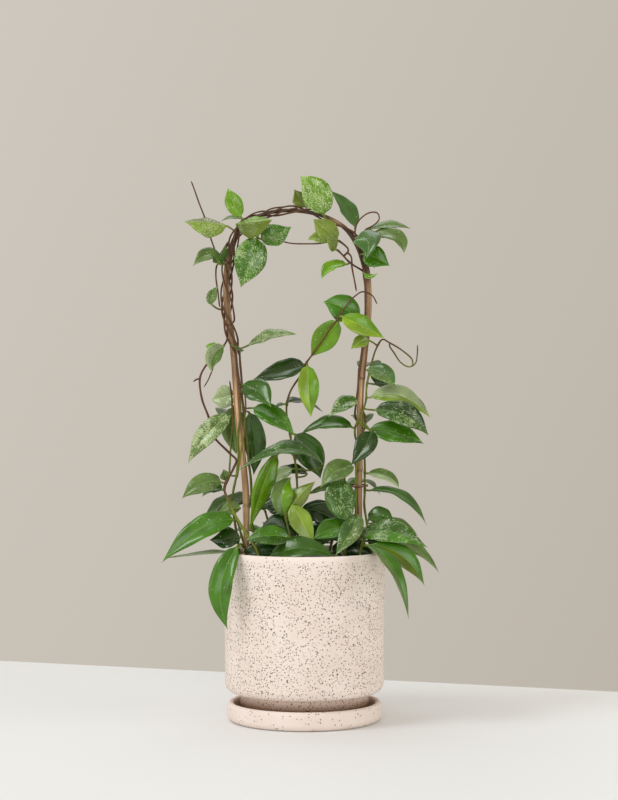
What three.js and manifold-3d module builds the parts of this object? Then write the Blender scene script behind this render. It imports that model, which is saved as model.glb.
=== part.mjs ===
// Potted climbing wax plant on a bent cane hoop, in a speckled pot on its own saucer.
// Millimetres, +Z up, the front towards -Y. The origin is the middle of the saucer's flat
// underside.
import * as THREE from "three";
import Module from "manifold-3d";

const wasm = await Module();
wasm.setup();

// Driving dimensions
const GAP = 0.3;
const SAUCER = { radius: 77.2, bore: 70, height: 18.9, floor: 6, corner: 7 };
const POT = {
  rimRadius: 80.5,
  bodyRadius: 79.3,
  wall: 5,
  rimHeight: 168.6,
  bodyBottom: 28.6,
  corner: 9.5,
  footRadius: 64.5,
  footBottom: SAUCER.floor + GAP,
  floor: 6,
  drain: 8,
};
const SOIL = { top: 153.6, swell: 2.2, crumb: 0.6, rings: 3, sides: 16, holeSides: 6 };
const HOOP = { legRadius: 3.25, crownRadius: 1.9, sides: 7, foot: 60 };
const VINE = { radius: 1.25, sides: 5, step: 13, clear: 1.25, hole: 138, footAway: 13 };
const PETIOLE = { radius: 1.05, rootRadius: 0.75, long: 22, short: 9, sink: 0.2 };
const BLADE = {
  thick: 0.8,
  wave: 0.9,
  short: 64,
  stations: [0.1, 0.36, 0.66, 0.88],
  shortStations: [0.14, 0.5, 0.84],
};
const TIE = { across: 54.6, height: 231.5, radius: 8.6, wire: 0.8, steps: 12 };
const TURNED_SIDES = 32;

// The point that the plant is sighted from, level with the middle of the foliage, and how far
// above the ground the heights of places start.
const SIGHT = { across: 4.5, away: 1900, up: 319.3, start: 2.3 };

// A place is [across, up, behind]. Across and up are read on the upright plane through the pot's
// middle, and the place slides along its sight line until it lies that far behind the plane.
function place([across, up, behind = 0]) {
  const grow = (SIGHT.away + behind) / SIGHT.away;
  return new THREE.Vector3(
    SIGHT.across + (across - SIGHT.across) * grow,
    behind,
    SIGHT.up + (up + SIGHT.start - SIGHT.up) * grow,
  );
}

// Solids
function solidFrom(positions, triangles) {
  return new wasm.Manifold(
    new wasm.Mesh({
      numProp: 3,
      vertProperties: new Float32Array(positions.flatMap((p) => [p.x, p.y, p.z])),
      triVerts: new Uint32Array(triangles.flat()),
    }),
  );
}

function meshFrom(name, solid, colour, roughness) {
  const { vertProperties, triVerts } = solid.getMesh();
  const geometry = new THREE.BufferGeometry();
  geometry.setAttribute("position", new THREE.BufferAttribute(vertProperties, 3));
  geometry.setIndex(new THREE.BufferAttribute(triVerts, 1));
  geometry.computeVertexNormals();
  const material = new THREE.MeshStandardMaterial({ color: colour, roughness, metalness: 0 });
  const mesh = new THREE.Mesh(geometry, material);
  mesh.name = name;
  return mesh;
}

// A ring of points turned about the upright axis. The outline is [radius, height] pairs.
// An outline that starts and ends on the axis is closed there, and any other closes on itself.
function turned(outline, sides) {
  const onAxis = outline[0][0] === 0;
  const rows = onAxis ? outline.slice(1, -1) : outline;
  const points = [];
  const faces = [];
  for (const [radius, height] of rows)
    for (let k = 0; k < sides; k++) {
      const a = (2 * Math.PI * k) / sides;
      points.push(new THREE.Vector3(radius * Math.cos(a), radius * Math.sin(a), height));
    }
  const at = (row, k) => (row % rows.length) * sides + (k % sides);
  const bands = onAxis ? rows.length - 1 : rows.length;
  for (let row = 0; row < bands; row++)
    for (let k = 0; k < sides; k++) {
      faces.push([at(row, k), at(row, k + 1), at(row + 1, k + 1)]);
      faces.push([at(row, k), at(row + 1, k + 1), at(row + 1, k)]);
    }
  if (onAxis) {
    const low = points.push(new THREE.Vector3(0, 0, outline[0][1])) - 1;
    const high = points.push(new THREE.Vector3(0, 0, outline.at(-1)[1])) - 1;
    for (let k = 0; k < sides; k++) {
      faces.push([low, at(0, k + 1), at(0, k)]);
      faces.push([high, at(rows.length - 1, k), at(rows.length - 1, k + 1)]);
    }
  }
  return { points, faces };
}

function turnedSolid(outline, sides) {
  const { points, faces } = turned(outline, sides);
  return solidFrom(points, faces);
}

// Points of a quarter round from one angle to another, in degrees.
function quarter(centreRadius, centreHeight, radius, from, to, steps) {
  return Array.from({ length: steps + 1 }, (_, i) => {
    const a = ((from + ((to - from) * i) / steps) * Math.PI) / 180;
    return [centreRadius + radius * Math.cos(a), centreHeight + radius * Math.sin(a)];
  });
}

// A round stem through the given points, with a radius for each share of its length.
// Its rings are evenly spaced, or with even set to false they follow the points.
function stem(path, radiusAt, sides, steps, even = true) {
  const curve = new THREE.CatmullRomCurve3(path, false, "centripetal");
  const points = [];
  const faces = [];
  let across = null;
  for (let i = 0; i <= steps; i++) {
    const centre = even ? curve.getPointAt(i / steps) : curve.getPoint(i / steps);
    const along = even ? curve.getTangentAt(i / steps) : curve.getTangent(i / steps);
    across ??= Math.abs(along.z) > 0.9 ? new THREE.Vector3(1, 0, 0) : new THREE.Vector3(0, 0, 1);
    across = across.clone().addScaledVector(along, -across.dot(along)).normalize();
    const other = new THREE.Vector3().crossVectors(along, across);
    const radius = radiusAt(i / steps, centre);
    for (let k = 0; k < sides; k++) {
      const a = (2 * Math.PI * k) / sides;
      points.push(
        centre
          .clone()
          .addScaledVector(across, radius * Math.cos(a))
          .addScaledVector(other, radius * Math.sin(a)),
      );
    }
  }
  const at = (row, k) => row * sides + (k % sides);
  for (let row = 0; row < steps; row++)
    for (let k = 0; k < sides; k++) {
      faces.push([at(row, k), at(row, k + 1), at(row + 1, k + 1)]);
      faces.push([at(row, k), at(row + 1, k + 1), at(row + 1, k)]);
    }
  for (let k = 1; k < sides - 1; k++) {
    faces.push([at(0, 0), at(0, k + 1), at(0, k)]);
    faces.push([at(steps, 0), at(steps, k), at(steps, k + 1)]);
  }
  return solidFrom(points, faces);
}

// Hoop: two canes bent into one arch, thick in the legs and thin over the top
const hoopPlaces = [
  [-58.5, HOOP.foot],
  [-58.5, 110],
  [-58.5, 160],
  [-58.5, 220],
  [-60.5, 247],
  [-63.5, 274],
  [-67.5, 315],
  [-70.5, 361],
  [-73.5, 385],
  [-77, 408],
  [-78, 440],
  [-74, 465],
  [-66.5, 484],
  [-54, 497],
  [-34.5, 504.5],
  [-12.5, 506.5],
  [7.5, 504],
  [26.5, 498],
  [41.5, 488],
  [53, 472],
  [61.5, 449],
  [64, 416],
  [62.5, 387],
  [58.5, 351],
  [56, 325],
  [55.5, 277],
  [54.5, 240],
  [54.5, 160],
  [54.5, 110],
  [54.5, HOOP.foot],
];
const hoopCurve = new THREE.CatmullRomCurve3(hoopPlaces.map((p) => place(p)), false, "centripetal");
hoopCurve.arcLengthDivisions = 400;
const hoopLength = hoopCurve.getLength();
const hoopLine = hoopCurve.getSpacedPoints(400);

// The cane thins evenly from the shoulders to the crown.
function hoopRadius(share, centre) {
  const rise = THREE.MathUtils.smoothstep(centre.z, 457, 505);
  return HOOP.legRadius + (HOOP.crownRadius - HOOP.legRadius) * rise;
}

// How far the vines have turned round the hoop, in degrees, so far along it from its left foot.
// They run straight up the lower legs and wind quickly over the shoulders and the top.
const TURNS = [
  [0, 180],
  [300, 180],
  [426, -300],
  [590, -1080],
  [725, -1080],
  [785, -720],
  [1000, -720],
];
function turnedAt(distance) {
  const i = TURNS.findIndex(([end]) => end > distance);
  const [[from, a], [to, b]] = [TURNS[i - 1], TURNS[i]];
  return a + ((b - a) * (distance - from)) / (to - from);
}

// A point beside the hoop on a winding line. Lines with other phases run beside it and never
// meet it.
function beside(distance, phase) {
  const share = distance / hoopLength;
  const centre = hoopCurve.getPointAt(share);
  const along = hoopCurve.getTangentAt(share);
  const front = new THREE.Vector3(0, -1, 0);
  const out = new THREE.Vector3().crossVectors(front, along).normalize();
  const turn = THREE.MathUtils.degToRad(turnedAt(distance) + phase);
  const reach = hoopRadius(share, centre) + VINE.radius + VINE.clear;
  return centre
    .addScaledVector(front, reach * Math.sin(turn))
    .addScaledVector(out, reach * Math.cos(turn));
}

function winding(from, to, phase) {
  const count = Math.max(2, Math.round(Math.abs(to - from) / VINE.step));
  const step = (to - from) / count;
  return Array.from({ length: count + 1 }, (_, i) => beside(from + step * i, phase));
}

// Where a winding stem stands in the soil: on the side of the leg on which its winding starts.
function footBeside(distance, phase) {
  const start = beside(distance, phase);
  const leg = hoopCurve.getPointAt(distance / hoopLength);
  const away = start.clone().sub(leg).setZ(0).setLength(VINE.footAway);
  return [leg.x + away.x, leg.y + away.y];
}

// A stem's stretch in the soil, upright in its hole.
function rooted([x, y]) {
  return [VINE.hole, VINE.hole + 12, SOIL.top + 6].map((z) => new THREE.Vector3(x, y, z));
}

// Leaf blade: lance shape with a drawn-out tip, folded along its midrib, its margins waved.
function bladeShape(t) {
  return Math.sin(Math.PI * t ** 0.85) ** (0.6 + 0.7 * t);
}

// Where the midrib of a leaf runs, and the direction its upper side looks at its middle.
function leafLine([base, middle, tip, , turn = 45]) {
  const [b, m, t] = [base, middle, tip].map(place);
  const bend = m.clone().multiplyScalar(2).addScaledVector(b, -0.5).addScaledVector(t, -0.5);
  const curve = new THREE.QuadraticBezierCurve3(b, bend, t);
  const chord = t.clone().sub(b).normalize();
  const a = THREE.MathUtils.degToRad(turn);
  const look =
    Math.abs(chord.z) > 0.8
      ? new THREE.Vector3(Math.sin(a), -Math.cos(a), 0)
      : new THREE.Vector3(0, -Math.cos(a), Math.sin(a));
  return { curve, look: square(look, curve.getTangent(0.5)) };
}

// The part of v at right angles to a direction, made one unit long.
function square(v, along) {
  return v.clone().addScaledVector(along, -v.dot(along)).normalize();
}

// The nearest point of the stems from which a straight line to the spot passes clear of the hoop.
function rootFor(spot, stems) {
  const blocked = (from) =>
    [0.2, 0.4, 0.6, 0.8, 1].some((share) => {
      const on = from.clone().lerp(spot, share);
      return hoopLine.some((c) => c.distanceTo(on) < hoopRadius(0, c) + PETIOLE.radius + 0.6);
    });
  const order = stems.flat().sort((p, q) => p.distanceTo(spot) - q.distanceTo(spot));
  return order.slice(0, 60).find((from) => !blocked(from)) ?? order[0];
}

// The way of a leaf stalk from the stems to the blade, which it meets in line with the midrib.
function stalkPath(curve, stems) {
  const base = curve.getPoint(0);
  const along = curve.getTangent(0);
  const nearest = rootFor(base, stems);
  const reach = nearest.distanceTo(base);
  if (reach < 3.5) return [nearest.clone().addScaledVector(along, -1.5), base];
  const root = nearest.clone().addScaledVector(base.clone().sub(nearest), -PETIOLE.sink / reach);
  const bow = base.clone().lerp(root, 0.45).addScaledVector(along, -0.14 * reach);
  return [root, bow, base];
}

// A leaf with its stalk, as one closed body. Both faces of the blade are split into triangles
// alike. Along the blade a row is three pairs of points, the upper before the under one.
function leafSolid(leaf, wavePhase, stems) {
  const [, , , width, , fold = 12] = leaf;
  const { curve, look } = leafLine(leaf);
  const f = THREE.MathUtils.degToRad(fold);
  const stations = curve.getLength() < BLADE.short ? BLADE.shortStations : BLADE.stations;
  const points = [];
  const faces = [];
  const sheet = (p, q, r) => faces.push([p, q, r], [p + 1, r + 1, q + 1]);
  const rim = (p, q) => faces.push([p, q, q + 1], [p, q + 1, p + 1]);
  const pair = (spot, up, thick) =>
    points.push(
      spot.clone().addScaledVector(up, thick / 2),
      spot.clone().addScaledVector(up, -thick / 2),
    ) - 2;

  const rows = stations.map((s) => {
    const centre = curve.getPoint(s);
    const along = curve.getTangent(s);
    const up = square(look, along);
    const side = new THREE.Vector3().crossVectors(along, up);
    const half = (width / 2) * bladeShape(s);
    const wave = BLADE.wave * (half / 12) * Math.sin(9 * s + wavePhase);
    return [-1, 0, 1].map((j) => {
      const lift = Math.abs(j) * half * Math.sin(f) + j * wave;
      const spot = centre.clone().addScaledVector(side, j * half * Math.cos(f));
      return pair(spot.addScaledVector(up, lift), up, BLADE.thick);
    });
  });
  for (let i = 0; i + 1 < rows.length; i++) {
    const [[a0, a1, a2], [b0, b1, b2]] = [rows[i], rows[i + 1]];
    sheet(a0, a1, b1);
    sheet(a0, b1, b0);
    sheet(a1, a2, b2);
    sheet(a1, b2, b1);
    rim(a0, b0);
    rim(b2, a2);
  }
  const tip = pair(curve.getPoint(1), square(look, curve.getTangent(1)), BLADE.thick);
  const [tip0, tip1, tip2] = rows.at(-1);
  sheet(tip, tip0, tip1);
  sheet(tip, tip1, tip2);
  rim(tip0, tip);
  rim(tip, tip2);

  // The stalk's rings run from the blade back to the stem. A ring is top, under, left, right.
  const path = stalkPath(curve, stems);
  const line = new THREE.CatmullRomCurve3(path, false, "centripetal");
  const length = line.getLength();
  const steps = 1 + (length > PETIOLE.short) + (length > PETIOLE.long);
  let up = square(look, curve.getTangent(0));
  const rings = [];
  for (let i = steps; i >= 0; i--) {
    const centre = line.getPointAt(i / steps);
    const along = i === steps ? curve.getTangent(0) : line.getTangentAt(i / steps);
    up = square(up, along);
    const radius = THREE.MathUtils.lerp(PETIOLE.rootRadius, PETIOLE.radius, i / steps);
    const side = new THREE.Vector3().crossVectors(along, up).multiplyScalar(radius);
    const top = pair(centre, up, 2 * radius);
    points.push(centre.clone().sub(side), centre.clone().add(side));
    rings.push([top, top + 1, top + 2, top + 3]);
  }
  for (let i = 0; i < steps; i++) {
    const [[t, u, l, r], [t2, u2, l2, r2]] = [rings[i], rings[i + 1]];
    const bands = [[l, t, l2, t2], [t, r, t2, r2], [r, u, r2, u2], [u, l, u2, l2]];
    for (const [p, q, p2, q2] of bands) faces.push([p, p2, q2], [p, q2, q]);
  }
  const [endTop, endUnder, endLeft, endRight] = rings.at(-1);
  faces.push([endTop, endLeft, endUnder], [endTop, endUnder, endRight]);
  const [t, u, l, r] = rings[0];
  const [w0, w1, w2] = rows[0];
  faces.push([l, t, w1], [l, w1, w0], [t, r, w2], [t, w2, w1]);
  faces.push([l, w1 + 1, u], [l, w0 + 1, w1 + 1], [u, w2 + 1, r], [u, w1 + 1, w2 + 1]);
  faces.push([l, w0, w0 + 1], [r, w2 + 1, w2]);
  return solidFrom(points, faces);
}

// A leafy stem: its stems, each [path, thickest radius, thinnest radius], and its leaves.
function shoot(stems, leaves) {
  const parts = [];
  const lines = [];
  for (const [path, thick = VINE.radius, thin = VINE.radius * 0.7] of stems) {
    const whole = lines.length ? [rootFor(path[0], lines), ...path] : path;
    const curve = new THREE.CatmullRomCurve3(whole, false, "centripetal");
    const steps = Math.max(3, Math.round(curve.getLength() / VINE.step));
    lines.push(curve.getSpacedPoints(steps * 3));
    parts.push(stem(whole, (s) => thick + (thin - thick) * s, VINE.sides, steps));
  }
  leaves.forEach((leaf, i) => parts.push(leafSolid(leaf, i * 2.4, lines)));
  return wasm.Manifold.union(parts).simplify(0.02);
}

const places = (list) => list.map(place);

// Leafy stems. A leaf is [base, middle of its midrib, tip, width, turn, fold]. Turn is how far
// its upper side looks up, or to the right on a hanging leaf, rather than to the front. A fold
// above zero lifts both halves, and one below zero lets them hang.
const roots = {};
const shoots = {};

roots.left_arch_vine = footBeside(135, 0);
shoots.left_arch_vine = shoot(
  [
    [[...rooted(roots.left_arch_vine), ...winding(135, 514, 0)], 1.35, 0.9],
    [places([[-49, 489, -8], [-47, 480, -6]]), 1, 0.9],
    [winding(305, 470, 60), 0.95, 0.8],
  ],
  [
    [[-63.5, 500, -5], [-71.5, 515, -8], [-76.5, 529, -5], 18, 10, 12],
    [[-68, 493, -10], [-50, 495.5, -20], [-32, 497, -26], 32, 30, -32],
    [[-77.5, 491, -9], [-99, 494.5, -16], [-120.5, 495.5, -22], 28, 35, -28],
    [[-65, 499, 5], [-75, 499, 12], [-84, 495.5, 21], 14, 60],
    [[-47.5, 479, -7], [-55, 456, -13], [-64, 429, -9], 33, 8, 10],
    [[-44, 478, -4], [-29.5, 482, 0], [-12.5, 490.5, 3], 25, 20, 8],
    [[-56.5, 371.5, -8], [-33.5, 381, -18], [-7, 382.7, -24], 24, 58],
    [[-63, 366, -11], [-68, 369, -20], [-75, 373, -30], 14, 60],
    [[-62, 332, -8], [-46.5, 326, -24], [-33.2, 309.3, -40], 26, 22, 6],
    [[-51.5, 309, -7], [-29.5, 300, -20], [-9.6, 281.5, -28], 22, 25],
    [[-55.5, 305, 8], [-50, 274, 15], [-51, 241, 15], 24, 15],
    [[-57, 217, 10], [-72, 215, 17], [-88, 204, 22], 24, 50],
  ],
);

roots.left_twining_vine = [-65, -12];
shoots.left_twining_vine = shoot(
  [
    [
      [
        ...rooted(roots.left_twining_vine),
        ...places([
          [-66.5, 176, -11.5],
          [-70, 196, -10.5],
          [-72, 212, -10],
          [-71, 228, -9.5],
          [-67.5, 244, -8],
          [-66.3, 258, -7.5],
          [-66.5, 274, -7],
          [-65.3, 292, -6.8],
          [-64, 310, -6.5],
          [-64.5, 325, -6.3],
        ]),
        ...winding(290, 497, 300),
      ],
      1.3,
      0.75,
    ],
    [
      places([
        [-74, 242, -3],
        [-74.5, 258, 4],
        [-73, 278, 8],
        [-72, 298, 9],
        [-72.5, 318, 9],
        [-75, 336, 9],
      ]),
      1,
      0.8,
    ],
    [
      places([
        [-67.5, 240, -10],
        [-65, 256, -11],
        [-62, 274, -10],
        [-60, 292, -8],
        [-59, 308, -7],
        [-60, 326, -7],
      ]),
      1.05,
      0.8,
    ],
  ],
  [
    [[-86.5, 453, -12], [-96, 462.5, -17], [-112, 450.5, -24], 20, 40],
    [[-83.5, 454, -9], [-81, 463, -13], [-78.5, 472, -14], 12, 55],
    [[-93, 412.5, -6], [-92.5, 422, -10], [-86, 431, -12], 11, 15],
    [[-69.5, 323.5, 13], [-80.5, 319.5, 16], [-93.5, 317, 20], 26, 20],
    [[-68, 311, 13], [-71, 287, 17], [-68, 262, 16], 26, 0],
    [[-74, 302, 16], [-79, 307, 38], [-84, 298, 62], 22, 90],
  ],
);

roots.left_loop_vine = [-44, -43];
shoots.left_loop_vine = shoot(
  [
    [
      [
        ...rooted(roots.left_loop_vine),
        ...places([
          [-48.5, 169, -43],
          [-54, 177, -41],
          [-63, 191, -37],
          [-71, 205.5, -32],
          [-77, 218, -27],
          [-80, 228, -23],
          [-76, 239, -19],
          [-71, 249, -16],
          [-68, 257, -15],
          [-75, 264, -13],
          [-89.5, 279, -12],
          [-95.5, 298, -12],
          [-102, 317, -14],
          [-105, 333.4, -14],
          [-104.2, 341, -14],
          [-100, 349, -13],
          [-91, 361, -8],
        ]),
        ...winding(317, 415, 240),
        ...places([
          [-87, 461, 4],
          [-90.5, 470, 3],
          [-94, 480, 2],
          [-100.5, 501, 1],
          [-107, 519, 0],
          [-113.5, 535.5, 0],
        ]),
      ],
      1.4,
      0.7,
    ],
    [places([[-107, 338, -15], [-111, 335.5, -16]]), 0.95, 0.8],
    [places([[-91.5, 352, -9], [-95, 340, -10], [-100.5, 330, -10]]), 0.8, 0.6],
    [winding(335, 480, 180), 0.9, 0.75],
    [places([[-87.5, 452, 6], [-88.5, 440, 7], [-87, 426, 7], [-84.5, 410, 5]]), 0.85, 0.75],
  ],
  [
    [[-73.9, 301, -13], [-97.5, 283, -22], [-116.7, 253, -28], 22, 15],
    [[-80.5, 371, -8], [-92.5, 360, -14], [-92.5, 344.5, -18], 18, 25],
    [[-87, 369, 1], [-93.5, 371, 7], [-99.5, 371, 12], 10, 40],
    [[-83, 234.5, -18], [-103, 233, -26], [-123, 218, -30], 21, 20],
    [[-79.5, 237, -16], [-79.5, 242, -19], [-81.5, 248, -22], 11, 10],
    [[-82.5, 227, -15], [-92.5, 228, -12], [-102.8, 220, -9], 16, 55],
    [[-76, 215.5, -18], [-87, 210.5, -9], [-103, 194, -1], 22, 50],
    [[-64, 209, -20], [-75, 208, -22], [-87, 201, -24], 16, 35],
  ],
);

roots.left_rim_shoot = [-57, -25];
shoots.left_rim_shoot = shoot(
  [
    [
      [
        ...rooted(roots.left_rim_shoot),
        ...places([
          [-59, 168, -25],
          [-63, 181, -25],
          [-67, 195, -25],
        ]),
      ],
      1.5,
      1,
    ],
    [places([[-61, 170, -32], [-63, 173, -41]]), 1.2, 1],
  ],
  [
    [[-70, 197, -28.5], [-104.5, 187.5, -38], [-143.5, 153.5, -46], 27, 35],
    [[-64, 180, -31], [-78, 178, -31], [-95.5, 177, -28], 28, 45],
    [[-72, 165, -41], [-104, 163, -40], [-141, 158.5, -38], 20, 88],
    [[-66.5, 171.5, -47], [-83.5, 130, -64], [-76.5, 87, -60], 26, -20],
  ],
);

roots.centre_vine = [-7, 6];
shoots.centre_vine = shoot(
  [
    [
      [
        ...rooted(roots.centre_vine),
        ...places([
          [-7, 205, 5],
          [-7.5, 238, 4],
          [-11.5, 267.5, 2],
          [-16, 290, 0],
          [-18, 311, -2],
          [-15, 323.5, -3],
          [-4.5, 341, -5],
          [2, 354, -8],
          [7, 361, -11],
          [20.5, 380, -15],
          [33.5, 399, -16],
          [41, 410, -15],
          [50.5, 421, -13],
          [58, 425.5, -12],
          [67.5, 421.5, -11],
          [72.5, 413, -9],
        ]),
      ],
      1.35,
      0.7,
    ],
  ],
  [
    [[0.5, 352.5, -6], [-23.5, 345.5, -2], [-51.9, 337.5, 4], 26, 36, 14],
    [[2.8, 352, -10], [4, 327, -17], [6.5, 299.3, -15], 22, 10, 14],
    [[34.5, 396, -14], [19.5, 378, -9], [6, 359.5, -7], 25, -5, 6],
    [[37.5, 400.5, -18], [57.5, 391, -24], [80.5, 378.6, -22], 22, 25],
    [[-17.5, 315, 2], [1, 314.5, 11], [18.8, 304.5, 18], 22, 75],
    [[-19.5, 313, -5], [-24, 312, -10], [-29, 310, -15], 9, 70],
    [[-10, 283, 3], [6.5, 262, 9], [16, 238, 12], 29, 10],
    [[19, 251, -8], [-17, 268, -22], [-67.5, 245, -30], 30, 66],
    [[-27, 263, -8], [-42.5, 229.5, -22], [-55, 187, -28], 24, 40],
    [[-12.5, 248, 0], [-27.5, 239, -5], [-37.5, 226, -6], 18, 40],
    [[3, 243, 9], [-16, 247.5, 13], [-35, 243, 16], 20, 65],
    [[-8, 262, 8], [-10, 268, 34], [-8, 256, 58], 24, 90],
    [[-10, 214, 9], [-18, 226, 40], [-26, 210, 70], 26, 90],
    [[-11, 172, 12], [-30, 184, 16], [-50, 178, 14], 28, 35],
    [[-3, 170, 13], [16, 182, 18], [36, 176, 18], 28, 35],
    [[-4, 196, 14], [14, 206, 18], [32, 200, 16], 26, 35],
  ],
);

roots.centre_front_shoot = [-12, -38];
shoots.centre_front_shoot = shoot(
  [
    [
      [
        ...rooted(roots.centre_front_shoot),
        ...places([
          [-13, 169, -38],
          [-15, 182, -36],
          [-18.5, 199, -31],
        ]),
      ],
      1.4,
      1,
    ],
  ],
  [
    [[-14, 179, -42], [-36.5, 181, -52], [-59.2, 176.5, -54], 24, 35],
    [[-36, 159, -47], [-2, 169, -57], [31, 159, -56], 30, 50],
    [[-22, 163, -32], [-42, 168, -34], [-63, 164, -32], 22, 40],
    [[-12.5, 212, -33], [-2.5, 195, -44], [10.5, 168, -49], 22, 15, -8],
    [[-19.5, 201, -31], [-22.5, 224, -33], [-13, 240, -14], 23, 5],
    [[-18.5, 202, -31], [-5.5, 221, -30], [11.5, 236, -26], 19, 15, -28],
    [[-9, 178, -26], [-26, 191, -27], [-44, 188, -27], 26, 30],
    [[-15, 197, -26], [-29, 212, -12], [-46, 206, -8], 22, 30],
  ],
);

roots.right_arch_vine = footBeside(hoopLength - 150, 240);
shoots.right_arch_vine = shoot(
  [
    [[...rooted(roots.right_arch_vine), ...winding(hoopLength - 150, 462, 240)], 1.35, 0.85],
    [places([[46, 454, -9], [38, 462, -12], [33, 467, -13]]), 1, 0.9],
    [places([[44, 467, -9], [36, 475, -12], [32, 477, -12]]), 1, 0.9],
    [places([[17, 474, -7], [0, 473, -2], [-14, 474, 3], [-21.5, 475.5, 5]]), 0.85, 0.7],
    [places([[46.5, 461, -9], [47.5, 450, -7], [49.5, 438, -5], [52, 426, -3]]), 0.9, 0.8],
  ],
  [
    [[19, 502, -6], [11, 525, -12], [-5, 541, -9], 31, 5, 8],
    [[2, 510, 4], [-3.5, 517, 8], [-10.5, 528, 10], 20, 20],
    [[50.5, 490, 4], [41.5, 509.5, 7], [25.5, 526.5, 8], 22, 45],
    [[33, 477, -13], [20.5, 488, -17], [8.5, 498, -19], 22, 10],
    [[29.5, 474, -12], [14.5, 479, -13], [3, 477, -14], 18, 50],
    [[31, 468, -14], [27.5, 473, -21], [21.5, 478.5, -26], 14, 20],
    [[42, 452.5, -9], [26, 450.5, -12], [17, 437.5, -16], 16, 50],
    [[55, 296, 10], [58, 300, 36], [56, 286, 62], 24, 90],
    [[60, 455, 9], [65, 460, 30], [70, 448, 52], 20, 90],
    [[57, 348, 9], [66, 354, 34], [76, 342, 58], 22, 90],
  ],
);

roots.right_shoulder_vine = footBeside(hoopLength - 150, 120);
shoots.right_shoulder_vine = shoot(
  [
    [
      [
        ...rooted(roots.right_shoulder_vine),
        ...winding(hoopLength - 150, 600, 120),
        ...places([
          [50.5, 486, -6],
          [54, 496, -7],
          [65, 504, -8],
          [73, 504, -9],
          [75, 498, -9],
          [71, 493, -8],
          [60, 487, -10],
        ]),
      ],
      1.3,
      0.7,
    ],
  ],
  [
    [[61.5, 486.5, -5], [85.5, 491.5, -6], [106.5, 488, -8], 19, 62],
    [[66, 482.5, -11], [91.5, 480.5, -21], [99.5, 463, -27], 20, 50],
    [[52, 479, -14], [63, 476, -28], [62, 458, -38], 29, 15],
    [[59.5, 463, -8], [71, 459, -13], [85.5, 451, -15], 24, 20],
    [[60, 443, -8], [66, 440, -11], [73, 444, -13], 9, 50],
    [[53.5, 397, -5], [36.5, 410, -5], [18.5, 415, -2], 29, 15, 6],
    [[53, 315.5, -9], [41, 313.5, -15], [23.5, 299.5, -19], 22, 52],
  ],
);

roots.right_green_vine = footBeside(hoopLength - 150, 0);
shoots.right_green_vine = shoot(
  [
    [
      [
        ...rooted(roots.right_green_vine),
        ...winding(hoopLength - 150, 710, 0),
        ...places([
          [71, 366, -10],
          [78, 378, -13],
          [84, 375, -15],
          [98, 366, -17],
          [108, 357, -18],
          [107.5, 350.5, -18],
          [103, 350, -18],
        ]),
      ],
      1.35,
      0.75,
    ],
    [
      places([
        [85, 371, -14],
        [89, 365, -14],
        [96.5, 354.5, -15],
        [105, 350.3, -16],
        [111, 353.5, -17],
        [113, 363, -17],
        [113, 372, -17],
      ]),
      0.8,
      0.6,
    ],
  ],
  [
    [[63.5, 377, -10], [55.5, 375, -15], [46.1, 367.6, -18], 14, 15],
    [[62, 347, -9], [79.5, 343, -20], [90.2, 328.3, -28], 20, 25],
    [[66, 343, 5], [74.5, 337, 9], [82.5, 330, 12], 14, 30],
    [[66, 319.5, -6], [97.5, 320.5, -9], [127, 298, -11], 24, 40],
    [[68, 333, 4], [103, 322.5, 6], [123.5, 304, 9], 18, 66],
    [[70, 307, -14], [100.5, 302, -26], [124.3, 281, -31], 26, 25],
    [[64.5, 287.5, -7], [93, 283.5, -15], [119.5, 273, -20], 27, 38],
    [[48, 289.5, -7], [21.5, 294, -3], [-5.5, 281, 2], 20, 50],
    [[66, 286, -18], [60.5, 271, -30], [45.7, 251, -34], 22, 25],
    [[63, 243.5, -6], [83, 240.5, -9], [94.5, 228.5, -12], 16, 50],
    [[65, 226.5, -7], [98, 221, -15], [122.3, 191.5, -20], 17, 66],
  ],
);

roots.right_front_shoot = [40, -24];
shoots.right_front_shoot = shoot(
  [
    [
      [
        ...rooted(roots.right_front_shoot),
        ...places([
          [42, 178, -24],
          [46, 200, -22],
          [42, 225, -17],
          [40, 240, -14],
        ]),
      ],
      1.4,
      1,
    ],
  ],
  [
    [[36, 240, -18], [36.5, 216, -31], [48.5, 190.5, -33], 31, 5, 8],
    [[49, 249.5, -15], [32, 246, -23], [16, 229, -28], 24, 30],
    [[54, 202, -28], [45, 183, -47], [30.5, 161, -60], 22, 40],
    [[44, 190, -27], [27, 188, -37], [7.3, 176, -43], 26, 40],
    [[38, 184, -20], [20, 203, -14], [-3, 207, -8], 28, 20],
    [[39, 232, -14], [21, 229, -9], [2, 222, -4], 17, 60],
    [[37, 163, -20], [54, 168, -21], [68, 161, -20], 22, 40],
  ],
);

roots.right_rim_shoot = [54, -36];
shoots.right_rim_shoot = shoot(
  [
    [
      [
        ...rooted(roots.right_rim_shoot),
        ...places([
          [57, 170, -36],
          [61, 182, -30],
          [63, 194, -24],
        ]),
      ],
      1.5,
      1,
    ],
    [places([[61, 171, -46], [62, 172, -54]]), 1.2, 1],
  ],
  [
    [[56, 181, -33], [87, 185, -50], [123.5, 169, -58], 27, 35],
    [[64, 197, -22], [76, 201.5, -26], [90, 192, -32], 22, 45],
    [[67, 193.5, -18], [92, 193.5, -15], [113.5, 181.5, -15], 19, 60],
    [[66, 180, -28], [106, 171, -30], [134.5, 144.4, -30], 24, 60],
    [[62, 176, -36], [84.5, 172, -43], [105.5, 156.5, -47], 22, 50],
    [[66, 172, -48], [98.5, 160, -60], [120.1, 131, -64], 22, 35],
    [[61, 172, -60], [89, 148, -84], [104.2, 97, -88], 22, 50],
  ],
);

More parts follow.
